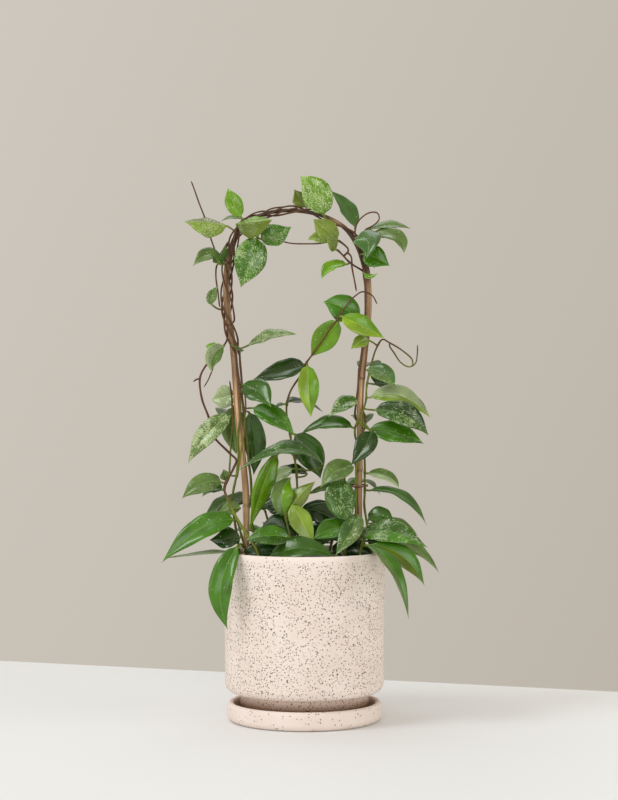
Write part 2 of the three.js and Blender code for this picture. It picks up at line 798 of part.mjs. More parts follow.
roots.back_left_shoot = [-30, 38];
shoots.back_left_shoot = shoot(
  [
    [
      [
        ...rooted(roots.back_left_shoot),
        ...places([
          [-31, 170, 40],
          [-34, 188, 38],
          [-40, 208, 30],
        ]),
      ],
      1.4,
      1,
    ],
  ],
  [
    [[-28, 176, 46], [-30, 192, 78], [-34, 168, 108], 26, 90],
    [[-38, 178, 40], [-62, 188, 58], [-84, 170, 74], 25, 80],
    [[-42, 208, 36], [-50, 218, 58], [-58, 204, 82], 24, 90],
    [[-45, 210, 28], [-66, 216, 30], [-86, 198, 34], 22, 70],
    [[-28, 188, 34], [-14, 198, 30], [4, 192, 26], 22, 60],
    [[-29, 165, 34], [-45, 169, 36], [-60, 164, 31], 22, 40],
  ],
);

roots.back_right_shoot = [24, 36];
shoots.back_right_shoot = shoot(
  [
    [
      [
        ...rooted(roots.back_right_shoot),
        ...places([
          [26, 170, 38],
          [30, 188, 36],
          [38, 212, 28],
          [44, 228, 22],
        ]),
      ],
      1.4,
      1,
    ],
  ],
  [
    [[18, 176, 46], [8, 194, 80], [2, 174, 112], 26, 90],
    [[32, 178, 44], [44, 188, 74], [56, 162, 98], 25, 85],
    [[36, 176, 38], [66, 186, 54], [92, 170, 66], 24, 80],
    [[40, 214, 34], [46, 226, 58], [50, 208, 84], 24, 90],
    [[44, 230, 26], [60, 236, 40], [76, 222, 54], 22, 80],
    [[32, 196, 32], [18, 206, 38], [4, 200, 46], 22, 80],
    [[28, 164, 32], [43, 168, 35], [58, 163, 31], 22, 40],
  ],
);

// Hoop and the tie that holds the vines to its right leg
const hoop = stem(places(hoopPlaces), hoopRadius, HOOP.sides, 2 * (hoopPlaces.length - 1), false);

function tie() {
  const leg = place([TIE.across, TIE.height]);
  const points = [];
  for (let i = 0; i <= TIE.steps; i++) {
    const a = (2 * Math.PI * (i * 0.94 + 0.4)) / TIE.steps;
    const rise = 1.6 * Math.sin(a) + 2.2 * (i / TIE.steps) - 1.1;
    const x = leg.x + TIE.radius * Math.cos(a);
    points.push(new THREE.Vector3(x, TIE.radius * Math.sin(a), leg.z + rise));
  }
  return stem(points, () => TIE.wire, 5, TIE.steps);
}

// Pot, saucer and soil
function pot() {
  const inside = POT.bodyRadius - POT.wall;
  const inFoot = POT.footRadius - POT.wall;
  const floor = POT.footBottom + POT.floor;
  return turnedSolid(
    [
      [POT.drain, POT.footBottom + 1.5],
      [POT.footRadius - 8, POT.footBottom + 1.5],
      [POT.footRadius - 7, POT.footBottom],
      [POT.footRadius - 1, POT.footBottom],
      [POT.footRadius, POT.footBottom + 1],
      [POT.footRadius, POT.bodyBottom - 1.5],
      [POT.footRadius + 1.5, POT.bodyBottom],
      ...quarter(POT.bodyRadius - POT.corner, POT.bodyBottom + POT.corner, POT.corner, -90, 0, 3),
      [POT.rimRadius, POT.rimHeight - 2.4],
      [POT.rimRadius - 0.8, POT.rimHeight - 0.7],
      [POT.rimRadius - 2.4, POT.rimHeight],
      [POT.rimRadius - 4.2, POT.rimHeight - 0.6],
      [POT.rimRadius - POT.wall, POT.rimHeight - 2.4],
      [inside, POT.bodyBottom + POT.wall + 6],
      [inside - 1.8, POT.bodyBottom + POT.wall + 1.8],
      [inside - 6, POT.bodyBottom + POT.wall],
      [inFoot, POT.bodyBottom + POT.wall],
      [inFoot, floor + 2],
      [inFoot - 2, floor],
      [POT.drain, floor],
    ],
    TURNED_SIDES,
  );
}

function saucer() {
  const { radius, bore, height, floor, corner } = SAUCER;
  const rim = (radius - bore) / 2;
  return turnedSolid(
    [
      [0, 0],
      ...quarter(radius - corner, corner, corner, -90, 0, 3),
      ...quarter(radius - rim, height - rim, rim, 0, 180, 4),
      [bore - 0.3, floor + 2.2],
      [bore - 2.5, floor],
      [0, floor],
    ],
    TURNED_SIDES,
  );
}

function soil() {
  const inside = POT.bodyRadius - POT.wall - GAP;
  const inFoot = POT.footRadius - POT.wall - GAP;
  const floor = POT.footBottom + POT.floor + GAP;
  const flare = (POT.rimRadius - POT.bodyRadius) / (POT.rimHeight - POT.bodyBottom);
  const edge = inside + flare * (SOIL.top - POT.bodyBottom) - 0.15;
  const shelf = POT.bodyBottom + POT.wall + GAP;
  const outline = [
    [0, floor],
    [inFoot - 2, floor],
    [inFoot, floor + 2.2],
    [inFoot, shelf],
    [inside - 6, shelf],
    [inside - 1.8, shelf + 2],
    [inside, shelf + 6.4],
    [edge, SOIL.top - 1],
  ];
  const sideRows = outline.length - 1;
  for (let ring = SOIL.rings; ring > 0; ring--) {
    outline.push([(edge * ring) / (SOIL.rings + 0.4), SOIL.top]);
  }
  outline.push([0, SOIL.top]);
  const { points, faces } = turned(outline, SOIL.sides);
  points.forEach((p, i) => {
    if (i < sideRows * SOIL.sides || p.z < SOIL.top - 0.5) return;
    p.z += SOIL.swell * Math.sin(p.x / 9 + 1.3) * Math.cos(p.y / 8);
    p.z += SOIL.crumb * Math.sin((p.x + p.y) / 3.7);
  });
  let body = solidFrom(points, faces);
  const hole = (x, y, radius, bottom) => {
    const sides = SOIL.holeSides;
    const reach = (radius + 0.4) / Math.cos(Math.PI / sides);
    const low = new THREE.Vector3(x, y, bottom - GAP - 0.1);
    const high = new THREE.Vector3(x, y, SOIL.top + 20);
    body = body.subtract(stem([low, high], () => reach, sides, 1));
  };
  for (const [x, y] of Object.values(roots)) hole(x, y, 1.5, VINE.hole);
  for (const end of [hoopPlaces[0], hoopPlaces.at(-1)]) {
    const foot = place(end);
    hole(foot.x, foot.y, HOOP.legRadius, foot.z);
  }
  return body;
}

// Colours and roughnesses
const FINISH = {
  ceramic: [0xe8dcd0, 0.8],
  soil: [0x2a211a, 0.95],
  cane: [0xb98a5e, 0.75],
  tie: [0x6b4a33, 0.6],
  leaf: [0x3f7a2a, 0.38],
};

const group = new THREE.Group();
group.add(meshFrom("saucer", saucer(), ...FINISH.ceramic));
group.add(meshFrom("pot", pot(), ...FINISH.ceramic));
group.add(meshFrom("soil", soil(), ...FINISH.soil));
group.add(meshFrom("cane_hoop", hoop, ...FINISH.cane));
group.add(meshFrom("twist_tie", tie(), ...FINISH.tie));
for (const [name, solid] of Object.entries(shoots)) {
  group.add(meshFrom(name, solid, ...FINISH.leaf));
}

export default group;
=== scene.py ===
import math
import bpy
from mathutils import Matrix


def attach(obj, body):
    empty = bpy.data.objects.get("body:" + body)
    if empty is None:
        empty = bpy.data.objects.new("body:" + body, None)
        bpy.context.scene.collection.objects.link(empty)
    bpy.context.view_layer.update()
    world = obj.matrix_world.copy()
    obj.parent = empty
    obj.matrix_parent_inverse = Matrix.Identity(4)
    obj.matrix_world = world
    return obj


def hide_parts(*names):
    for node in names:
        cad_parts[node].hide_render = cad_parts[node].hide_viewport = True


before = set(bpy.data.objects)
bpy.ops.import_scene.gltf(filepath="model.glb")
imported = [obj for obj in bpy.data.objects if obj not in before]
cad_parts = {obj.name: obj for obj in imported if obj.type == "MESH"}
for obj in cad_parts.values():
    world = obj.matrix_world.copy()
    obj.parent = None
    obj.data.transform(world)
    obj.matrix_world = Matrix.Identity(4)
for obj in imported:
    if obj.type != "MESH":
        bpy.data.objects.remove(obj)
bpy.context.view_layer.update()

from types import SimpleNamespace as Sizes

import bpy
import numpy as np
from mathutils import Matrix, Vector

# A potted climbing wax plant on a bent cane hoop, in a speckled pot on its own saucer.
# The tables of stems and leaves, and the formulas that bend them, are those of the solid model:
# millimetres, +Z up, the front towards -Y. Pieces are made in metres in the model's own frame.

MM = 0.001

# Sizes, as in the solid model
GAP = 0.3
SAUCER = Sizes(radius=77.2, bore=70, height=18.9, floor=6, corner=7)
POT = Sizes(rim_radius=80.5, body_radius=79.3, wall=5, rim_height=168.6, body_bottom=28.6, corner=9.5,
            foot_radius=64.5, foot_bottom=SAUCER.floor + GAP, floor=6, drain=8)
SOIL_TOP = 153.6
HOOP = Sizes(leg_radius=3.25, crown_radius=1.9, foot=60)
VINE = Sizes(radius=1.25, step=13, clear=1.25, hole=138, foot_away=13)
PETIOLE = Sizes(radius=1.05, root_radius=0.75, sink=0.2, clear=0.6)
BLADE = Sizes(wave=0.9, fold=12)
TIE = Sizes(across=54.6, height=231.5, radius=8.6, start=1 / 30, turns=0.94, tilt=1.6, rise=2.2)
SIGHT = Sizes(across=4.5, away=1900, up=319.3, start=2.3)

# Fineness of the visible pieces
TURNED_SIDES = 192
TURNED_STEP = 6
LEAF_ROWS = 34
STALK_ROWS = 9
STEM_SIDES = 10
STEM_STEP = 2.4
HOOP_SIDES = 20
HOOP_STEP = 2
TIE_SIDES = 12
TIE_ROWS = 120
SOIL_RINGS = 44

# Finer forms that the solids leave out, in millimetres or as shares of a leaf's half width
GROOVE = Sizes(deep=0.3, wide=0.7)
KEEL = Sizes(deep=0.55, wide=0.8)
BLADE_THICK = 0.9
CREASE = 0.09
CUP = 0.05
RIPPLE = 0.035
KNOT = Sizes(swell=0.3, wide=1.9)
STALK_FOOT = Sizes(swell=0.35, wide=2.2)
SWAY = Sizes(reach=0.22, low=8, high=30)
CANE_KNOTS = (150.0, 331.0, 402.0, 700.0, 792.0, 905.0)
CANE_KNOT = Sizes(swell=0.11, wide=1.6)
FRAY = Sizes(count=14, seed=11, across=58.5, heights=(305, 314), turns=(150, 255), reach=(1.2, 3.2))
PAPER = Sizes(half_width=0.85, half_thick=0.55, edge=0.45)
BARK = Sizes(count=1500, seed=5, size=(0.7, 2.4), broad=(0.4, 0.9), flat=(0.25, 0.6), uneven=(0.65, 1.2))

# Where the cane changes colour: heights, and the middle of a tan patch on its crown
CROWN_PATCH = [32.5, 496.5, 0]
RIGHT_LEG_CROWN = (425, 455)
LEFT_LEG_CROWN = (448, 482)
RIGHT_LEG_FRESH = 325
# Above these heights the left leg turns brown: partly the cane's own colour, partly painted shade.
LEFT_LEG_BROWN = (325, 350)


# Places and lines
def norm(v):
    return np.linalg.norm(v, axis=-1)


def unit(v):
    return v / norm(v)[..., None]


def square(v, along):
    """The part of v at right angles to a direction, made one unit long."""
    return unit(v - along * np.dot(v, along))


def mix(a, b, share):
    return a * (1 - share) + b * share


def smooth(value, low, high):
    t = np.clip((value - low) / (high - low), 0, 1)
    return t * t * (3 - 2 * t)


def hump(away, wide):
    return np.exp(-((away / wide) ** 2))


def around(count):
    return 2 * math.pi * np.arange(count) / count


def place(spot):
    """[across, up, behind] slides along its sight line until it is that far behind the plane."""
    across, up, behind = (*spot, 0)[:3]
    grow = (SIGHT.away + behind) / SIGHT.away
    return np.array([SIGHT.across + (across - SIGHT.across) * grow, behind,
                     SIGHT.up + (up + SIGHT.start - SIGHT.up) * grow])


def places(spots):
    return [place(s) for s in spots]


class Line:
    """Centripetal Catmull-Rom curve through points, read by its share of the length."""

    def __init__(self, points, divisions=200):
        p = np.asarray(points, float)
        self.points = np.vstack([2 * p[0] - p[1], p, 2 * p[-1] - p[-2]])
        self.spans = len(p) - 1
        self.params = np.linspace(0, 1, divisions + 1)
        steps = norm(np.diff(self.at(self.params), axis=0))
        self.lengths = np.concatenate([[0], np.cumsum(steps)])
        self.length = self.lengths[-1]

    def at(self, t):
        t = np.atleast_1d(t) * self.spans
        i = np.clip(np.floor(t).astype(int), 0, self.spans - 1)
        w = (t - i)[:, None]
        p0, p1, p2, p3 = (self.points[i + k] for k in range(4))
        d0, d1, d2 = (np.sqrt(norm(d))[:, None] for d in (p1 - p0, p2 - p1, p3 - p2))
        t1 = ((p1 - p0) / d0 - (p2 - p0) / (d0 + d1) + (p2 - p1) / d1) * d1
        t2 = ((p2 - p1) / d1 - (p3 - p1) / (d1 + d2) + (p3 - p2) / d2) * d1
        return p1 + t1 * w + (3 * (p2 - p1) - 2 * t1 - t2) * w**2 + (2 * (p1 - p2) + t1 + t2) * w**3

    def param(self, share):
        return np.interp(np.atleast_1d(share) * self.length, self.lengths, self.params)

    def point(self, share):
        return self.at(self.param(share))

    def tangent(self, share):
        t = self.param(share)
        return unit(self.at(np.minimum(t + 1e-4, 1)) - self.at(np.maximum(t - 1e-4, 0)))


# Hoop and what winds round it
HOOP_PLACES = [
    [-58.5, HOOP.foot], [-58.5, 110], [-58.5, 160], [-58.5, 220], [-60.5, 247], [-63.5, 274],
    [-67.5, 315], [-70.5, 361], [-73.5, 385], [-77, 408], [-78, 440], [-74, 465], [-66.5, 484],
    [-54, 497], [-34.5, 504.5], [-12.5, 506.5], [7.5, 504], [26.5, 498], [41.5, 488], [53, 472],
    [61.5, 449], [64, 416], [62.5, 387], [58.5, 351], [56, 325], [55.5, 277], [54.5, 240], [54.5, 160],
    [54.5, 110], [54.5, HOOP.foot],
]
HOOP_LINE = Line(places(HOOP_PLACES), 400)
HOOP_LENGTH = HOOP_LINE.length
HOOP_POINTS = HOOP_LINE.point(np.linspace(0, 1, 401))
SHOULDER, CROWN = 457, 505


def hoop_radius(height):
    """The cane thins evenly from the shoulders to the crown."""
    return mix(HOOP.leg_radius, HOOP.crown_radius, smooth(height, SHOULDER, CROWN))


HOOP_REACH = hoop_radius(HOOP_POINTS[:, 2]) + PETIOLE.radius + PETIOLE.clear

# How far the vines have turned round the hoop, in degrees, so far along it from its left foot
TURNS = [[0, 180], [300, 180], [426, -300], [590, -1080], [725, -1080], [785, -720], [1000, -720]]


def beside(distance, phase):
    """A point beside the hoop on a winding line."""
    share = distance / HOOP_LENGTH
    centre = HOOP_LINE.point(share)[0]
    along = HOOP_LINE.tangent(share)[0]
    front = np.array([0.0, -1.0, 0.0])
    out = unit(np.cross(front, along))
    turn = math.radians(np.interp(distance, *zip(*TURNS)) + phase)
    reach = hoop_radius(centre[2]) + VINE.radius + VINE.clear
    return centre + front * reach * math.sin(turn) + out * reach * math.cos(turn)


def winding(start, end, phase):
    """Points of a vine that winds from one distance along the hoop to another."""
    count = max(2, round(abs(end - start) / VINE.step))
    return [beside(start + (end - start) * i / count, phase) for i in range(count + 1)]


def foot_beside(distance, phase):
    """Where a stem that winds up a leg of the hoop comes out of the soil."""
    leg = HOOP_LINE.point(distance / HOOP_LENGTH)[0][:2]
    return leg + unit(beside(distance, phase)[:2] - leg) * VINE.foot_away


def rooted(root):
    return [np.array([*root, z]) for z in (VINE.hole, VINE.hole + 12, SOIL_TOP + 6)]


def root_for(spot, lines):
    """The nearest point of the stems from which a straight line to the spot clears the hoop."""
    points = np.vstack(lines)
    order = points[np.argsort(norm(points - spot), kind="stable")][:60]
    shares = np.array([0.2, 0.4, 0.6, 0.8, 1.0])[:, None]
    for start in order:
        on = start + (spot - start) * shares
        if not (norm(on[:, None] - HOOP_POINTS) < HOOP_REACH).any():
            return start
    return order[0]


# Colours
def linear(red, green, blue):
    """A colour as seen on a screen, 0 to 255, as the linear values that shaders take."""
    return tuple(c / 12.92 if c <= 0.04045 else ((c + 0.055) / 1.055) ** 2.4
                 for c in (red / 255, green / 255, blue / 255))


LEAF_TONES = {
    "mature": linear(45, 84, 9),
    "rich": linear(58, 107, 6),
    "dark": linear(27, 57, 6),
    # "deep" is painted shade: near black for leaves deep inside the foliage.
    "deep": linear(13, 46, 3),
    "blue": linear(60, 96, 38),
    "bright": linear(96, 140, 6),
    "glow": linear(128, 158, 34),
    "lime": linear(120, 145, 48),
    "moss": linear(108, 126, 44),
    "olive": linear(84, 100, 18),
    # "grey" and "pale" are painted sheen: the grey reflection of the bright surroundings on glossy leaves.
    "grey": linear(84, 109, 50),
    "pale": linear(142, 158, 112),
}
LEAF_UNDER, LEAF_UNDER_RIB, LEAF_FLECK = linear(104, 136, 66), linear(160, 178, 100), linear(206, 220, 164)
STEM_GREEN, STEM_BROWN = np.array(linear(112, 124, 34)), np.array(linear(88, 54, 32))
STEM_PATCH, STEM_DOT = linear(66, 44, 34), linear(170, 150, 120)
CANE_TAN, CANE_PALE, CANE_STREAK = linear(204, 158, 114), linear(238, 200, 152), linear(120, 82, 52)
CANE_PATCH, CANE_BROWN = linear(138, 96, 62), linear(92, 68, 44)
CANE_CROWN, CANE_RING = linear(62, 40, 30), linear(92, 60, 40)
GLAZE = linear(242, 227, 217), linear(236, 220, 209)
SPECK_TONES = linear(16, 4, 1), linear(76, 40, 20)
SOIL_DARK, SOIL_LIGHT, SOIL_TONE = linear(16, 12, 10), linear(52, 38, 28), linear(26, 19, 15)
BARK_DARK, BARK_WARM = np.array(linear(30, 22, 17)), np.array(linear(104, 74, 52))
PAPER_TONES = linear(88, 56, 40), linear(128, 88, 62)
TABLE_TONES, TABLE_LIT = (linear(238, 238, 237), linear(235, 235, 234)), linear(247, 247, 246)
WALL_TONES = linear(206, 199, 189), linear(189, 181, 169)

# What the ceramic material reads: a tint, and the share of specks
PLAIN = (1, 1, 1, 1)
SAUCER_TONE = (1, 1, 1, 0.45)
# The rim's tint above 1 is a painted highlight; its low share of specks is the glaze's own.
RIM_HIGHLIGHT_AND_FEW_SPECKS = (1.05, 1.05, 1.05, 0.35)


# Meshes
def add_object(name, data):
    thing = bpy.data.objects.new(name, data)
    bpy.context.scene.collection.objects.link(thing)
    return thing


def capped(rows):
    """The rows, with the first and the last once more for the points that close the ends."""
    return np.vstack([rows, rows[0], rows[-1]])


def ringed(centre, across, up, sideways, upwards):
    """Rings of points round a line, each so far along its two directions."""
    return centre[:, None] + across[:, None] * sideways[..., None] + up[:, None] * upwards[..., None]


def band_faces(rows, ring, wrapped=False):
    """Quads between rings of points. The last ring meets the first, or a fan closes each end."""
    faces = []
    for row in range(rows if wrapped else rows - 1):
        near, far = row * ring, (row + 1) % rows * ring
        for k in range(ring):
            n = (k + 1) % ring
            faces.append((near + k, near + n, far + n, far + k))
    if not wrapped:
        last = (rows - 1) * ring
        for k in range(ring):
            n = (k + 1) % ring
            faces.append((rows * ring, n, k))
            faces.append((rows * ring + 1, last + k, last + n))
    return faces


class Shell:
    """Points and faces of one piece, with what its material reads at each point."""

    def __init__(self):
        self.points, self.faces, self.slots = [], [], []
        self.read = {"plant_place": [], "plant_share": [], "plant_tone": []}
        self.count = 0

    def add(self, points, faces, tone, where=None, share=None, slot=0):
        none = np.zeros((len(points), 3))
        self.points.append(points)
        self.read["plant_place"].append(none if where is None else where)
        self.read["plant_share"].append(none if share is None else share)
        self.read["plant_tone"].append(np.broadcast_to(tone, (len(points), 4)))
        self.faces.extend(tuple(i + self.count for i in f) for f in faces)
        self.slots.extend([slot] * len(faces))
        self.count += len(points)

    def piece(self, name, materials, node):
        mesh = bpy.data.meshes.new(name)
        mesh.from_pydata((np.vstack(self.points) * MM).tolist(), [], self.faces)
        mesh.polygons.foreach_set("use_smooth", [True] * len(self.faces))
        mesh.polygons.foreach_set("material_index", self.slots)
        for key, values in self.read.items():
            kind, field = ("FLOAT_COLOR", "color") if key == "plant_tone" else ("FLOAT_VECTOR", "vector")
            data = mesh.attributes.new(key, kind, "POINT").data
            data.foreach_set(field, np.vstack(values).astype(np.float32).ravel())
        for material in materials:
            mesh.materials.append(material)
        mesh.validate()
        mesh.update()
        thing = add_object(name, mesh)
        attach(thing, "root")
        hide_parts(node)


# Stems
def frames_along(points):
    """Directions along a row of points, and two square to them that turn as little as they can."""
    along = unit(np.gradient(points, axis=0))
    across = np.array([1.0, 0, 0] if abs(along[0][2]) > 0.9 else [0, 0, 1.0])
    rows = []
    for direction in along:
        across = square(across, direction)
        rows.append(across)
    return along, np.array(rows), np.cross(along, rows)


def add_tube(shell, centre, frames, sideways, upwards, tip=0, tone_at=lambda z: PLAIN, **reads):
    """Rings round a row of points, with a point past each end that closes the tube."""
    along, across, other = frames
    rings = ringed(centre, across, other, sideways, upwards)
    points = np.vstack([rings.reshape(-1, 3), centre[0], centre[-1] + along[-1] * tip])
    tone = [tone_at(z) for z in points[:, 2]]
    shell.add(points, band_faces(len(centre), rings.shape[1]), tone, **reads)


def tube_place(distance, angle, reach):
    """What a material reads on a round piece: how far along it, and where round it."""
    ring = np.column_stack([np.zeros(len(angle)), np.cos(angle) * reach, np.sin(angle) * reach])
    return capped((distance[:, None, None] * (1, 0, 0) + ring).reshape(-1, 3))


def add_stem(shell, line, thick, thin, knots=(), tone_at=lambda z: PLAIN, seed=0, slot=0):
    """A round stem, swollen at its knots, that sways a little from its line."""
    rows = max(6, int(line.length / STEM_STEP))
    shares = np.linspace(0, 1, rows)
    distance = shares * line.length
    centre = line.point(shares)
    frames = _, across, other = frames_along(centre)
    sway = SWAY.reach * smooth(distance, SWAY.low, SWAY.high)
    centre = (centre + across * (sway * np.sin(distance / 5.3 + seed))[:, None]
              + other * (sway * np.sin(distance / 7.1 + 2.1 * seed))[:, None])
    radius = mix(thick, thin, shares) * (1 + 0.06 * np.sin(distance / 3.1 + seed))
    for knot in knots:
        radius = radius * (1 + KNOT.swell * hump(distance - knot, KNOT.wide))
    radius[-1] *= 0.55
    angle = around(STEM_SIDES)
    add_tube(shell, centre, frames, np.outer(radius, np.cos(angle)), np.outer(radius, np.sin(angle)),
             tip=0.4, tone_at=tone_at, where=tube_place(distance + 97 * seed, angle, 1.3), slot=slot)


# Leaves
ACROSS = np.array([0, 0.035, 0.09, 0.17, 0.28, 0.4, 0.53, 0.66, 0.78, 0.88, 0.95, 1.0])
ACROSS = np.concatenate([-ACROSS[:0:-1], ACROSS])
RING_ACROSS = np.concatenate([ACROSS, ACROSS[-2:0:-1]])
RING_UPPER = np.concatenate([np.ones(len(ACROSS)), -np.ones(len(ACROSS) - 2)])
HALF_TURN = math.pi * (1 - np.arange(len(ACROSS)) / (len(ACROSS) - 1))
RING_ANGLE = np.concatenate([HALF_TURN, -HALF_TURN[-2:0:-1]])
RING = len(RING_ANGLE)

# Shares of a midrib at which the blade has a ring, closer together towards both ends
EVEN = np.linspace(0, 1, LEAF_ROWS + 1)[:-1]
ALONG_BLADE = np.append(0.45 * EVEN + 0.55 * (0.5 - 0.5 * np.cos(math.pi * EVEN)), [0.985, 0.996])
ALONG_BLADE = np.unique(np.round(ALONG_BLADE, 5))


def blade_shape(t):
    """The width of a blade along its midrib, as a share of the widest."""
    return np.sin(math.pi * t**0.85) ** (0.6 + 0.7 * t)


def bezier(b, bend, t, s):
    s = np.atleast_1d(s)[:, None]
    point = (1 - s) ** 2 * b + 2 * (1 - s) * s * bend + s**2 * t
    return point, unit(2 * (1 - s) * (bend - b) + 2 * s * (t - bend))


def midrib(b, m, t, turn):
    """Points of the midrib and, at each, the directions along it and out of the upper face."""
    bend = 2 * m - (b + t) / 2
    hanging = abs(unit(t - b)[2]) > 0.8
    a = math.radians(turn)
    look = np.array([math.sin(a), -math.cos(a), 0] if hanging else [0, -math.cos(a), math.sin(a)])
    look = square(look, bezier(b, bend, t, 0.5)[1][0])
    centre, along = bezier(b, bend, t, ALONG_BLADE)
    return centre, along, np.array([square(look, d) for d in along])


def blade_section(half, fold, index, seed):
    """How far each point of the blade's rings lies beside the midrib and above it."""
    s, j = ALONG_BLADE[:, None], RING_ACROSS[None]
    reach = np.abs(j)
    f = math.radians(fold)
    wave = BLADE.wave * (half / 12) * np.sin(9 * s + index * 2.4)
    ripple = RIPPLE * half * np.sin(21 * s + 3.1 * seed + index) * reach**2
    crease = (np.sqrt(reach**2 + CREASE**2) - CREASE) / (math.sqrt(1 + CREASE**2) - CREASE)
    lift = crease * half * math.sin(f) + j * wave + j * ripple
    lift += CUP * half * np.sin(math.pi * reach) * (1 if fold > 0 else -1)
    lift -= CUP * half * smooth(reach, 0.75, 1)
    for rib, side in ((GROOVE, 1), (KEEL, -1)):
        lift -= (RING_UPPER == side) * rib.deep * hump(half * reach, rib.wide) * (1 - s) ** 0.6
    lift += RING_UPPER * BLADE_THICK / 2 * np.sqrt(1 - reach**5) * np.clip(half / 2.5, 0.25, 1)

    # Near its base the blade gathers into the round stalk.
    gather = smooth(s, 0, 0.085)
    across = mix(PETIOLE.radius * np.cos(RING_ANGLE), half * math.cos(f) * j, gather)
    return across, mix(PETIOLE.radius * np.sin(RING_ANGLE), lift, gather)


def stalk_path(base, along, lines):
    """From the nearest stem to the blade: straight where they are close, or else bowed."""
    nearest = root_for(base, lines)
    reach = norm(nearest - base)
    if reach < 3.5:
        return [nearest - along * 1.5, base]
    root = nearest - (base - nearest) * PETIOLE.sink / reach
    bow = base + (root - base) * 0.45 - along * 0.14 * reach
    return [root, bow, base]


def stalk_rings(stalk, along, up):
    """Rings of the round stalk from the stem up to the blade, whose frame the last one shares."""
    shares = np.linspace(0, 1, STALK_ROWS)
    directions = stalk.tangent(shares)
    directions[-1] = along
    ups = [up]
    for direction in directions[::-1][1:]:
        ups.append(square(ups[-1], direction))
    ups = np.array(ups[::-1])
    radius = mix(PETIOLE.root_radius, PETIOLE.radius, shares)
    radius = radius * (1 + STALK_FOOT.swell * hump(shares * stalk.length, STALK_FOOT.wide))
    return ringed(stalk.point(shares), np.cross(directions, ups), ups,
                  np.outer(radius, np.cos(RING_ANGLE)), np.outer(radius, np.sin(RING_ANGLE)))


def leaf_tones(tone_name, fleck, root_tone, on_blade):
    """The stalk fades from the stem's tone to its own, and the blade has a tone for each half, where two
    tones paint light on one half and shade on the other.
    """
    halves = [np.array([*LEAF_TONES[name], fleck]) for name in tone_name.split("/")]
    stalk_end = mix(np.array([*STEM_GREEN, 0]), halves[0] * (1, 1, 1, 0), 0.4)
    up_stalk = (np.arange(STALK_ROWS - 1) / (STALK_ROWS - 1))[:, None, None]
    stalk = np.broadcast_to(mix(root_tone, stalk_end, up_stalk), (STALK_ROWS - 1, RING, 4))
    # Two halves of differing tone: painted light on one half, painted shade on the other.
    blade = mix(halves[0], halves[-1], smooth(RING_ACROSS, -0.04, 0.04)[None, :, None])
    return np.concatenate([stalk, mix(stalk_end, blade, on_blade[:, None, None])]).reshape(-1, 4)


def add_leaf(shell, leaf, index, seed, lines, tone_at):
    """A folded, waved blade with its midrib groove and keel, on a round stalk."""
    base, middle, tip, width, turn, tone_name, fleck, fold = (*leaf, BLADE.fold)[:8]
    b, m, t = places([base, middle, tip])
    centre, along, up = midrib(b, m, t, turn)
    half = (width / 2 * blade_shape(ALONG_BLADE))[:, None]
    blade = ringed(centre, np.cross(along, up), up, *blade_section(half, fold, index, seed))
    stalk = Line(stalk_path(b, along[0], lines))
    root = stalk.point(0)[0]
    rows = np.concatenate([stalk_rings(stalk, along[0], up[0])[:-1], blade])
    points = np.vstack([rows.reshape(-1, 3), root, t])

    # The material reads millimetres along and across the leaf, its face, its halves and its stalk.
    count = len(rows)
    none = np.zeros(STALK_ROWS - 1)
    length = np.sum(norm(np.diff(centre, axis=0)))
    down_stalk = (np.linspace(0, 1, STALK_ROWS)[:-1] - 1) * stalk.length
    mm_along = np.concatenate([down_stalk, ALONG_BLADE * length]) + 61.7 * (index + 1) + 803 * seed
    mm_across = np.concatenate([none, half[:, 0]])[:, None] * RING_ACROSS
    on_blade = smooth(ALONG_BLADE, 0.01, 0.07)
    where = np.column_stack([
        np.repeat(mm_along, RING), mm_across.ravel(), np.tile((RING_UPPER + 1) / 2, count)])
    share = np.column_stack([
        np.tile(RING_ACROSS, count), np.repeat([*none, *on_blade], RING), np.zeros(count * RING)])
    tone = leaf_tones(tone_name, fleck, tone_at(root[2]), on_blade)
    shell.add(points, band_faces(count, RING), capped(tone), capped(where), capped(share))


# Leafy stems
def brown_above(low, high):
    """Stems are green near the soil and turn brown higher up."""
    def tone_at(z):
        return np.array([*(STEM_GREEN + (STEM_BROWN - STEM_GREEN) * smooth(z, low, high)), 0])
    return tone_at


def knots_of(line, leaves):
    """How far along the stem a leaf leaves it."""
    on = line.point(np.linspace(0, 1, 400))
    knots = []
    for leaf in leaves:
        away = norm(on - place(leaf[0]))
        if away.min() < 16:
            knots.append(away.argmin() / 399 * line.length)
    return knots


def leafy_stem(node, seed, root, stems, leaves, brown=(255, 345)):
    """A vine: its first stem stands in the soil, and each side stem leaves the nearest stem."""
    shell = Shell()
    lines, curves = [], []
    for route, thick, thin in stems:
        path = [place(spot) if isinstance(spot, list) else spot for spot in route]
        start = [root_for(path[0], lines)] if lines else rooted(root)
        line = Line([*start, *path])
        steps = max(3, round(line.length / VINE.step))
        lines.append(line.point(np.linspace(0, 1, steps * 3 + 1)))
        curves.append((line, thick, thin))
    tone_at = brown_above(*brown)
    for i, (line, thick, thin) in enumerate(curves):
        add_stem(shell, line, thick, thin, knots_of(line, leaves), tone_at, seed + 0.37 * i, 1)
    for i, leaf in enumerate(leaves):
        add_leaf(shell, leaf, i, seed, lines, tone_at)
    shell.piece(node + "_leaves_and_stems", [leaf_material, stem_material], node)


# Shader helpers
class Value:
    """A shader value that adds, subtracts and multiplies as a number does."""

    def __init__(self, graph, socket):
        self.graph, self.socket = graph, socket

    def __add__(self, other):
        return self.graph.math("ADD", self, other)

    def __sub__(self, other):
        return self.graph.math("SUBTRACT", self, other)

    def __rsub__(self, other):
        return self.graph.math("SUBTRACT", other, self)

    def __mul__(self, other):
        return self.graph.math("MULTIPLY", self, other)

    def __gt__(self, other):
        return self.graph.math("GREATER_THAN", self, other)

    def __abs__(self):
        return self.graph.math("ABSOLUTE", self)


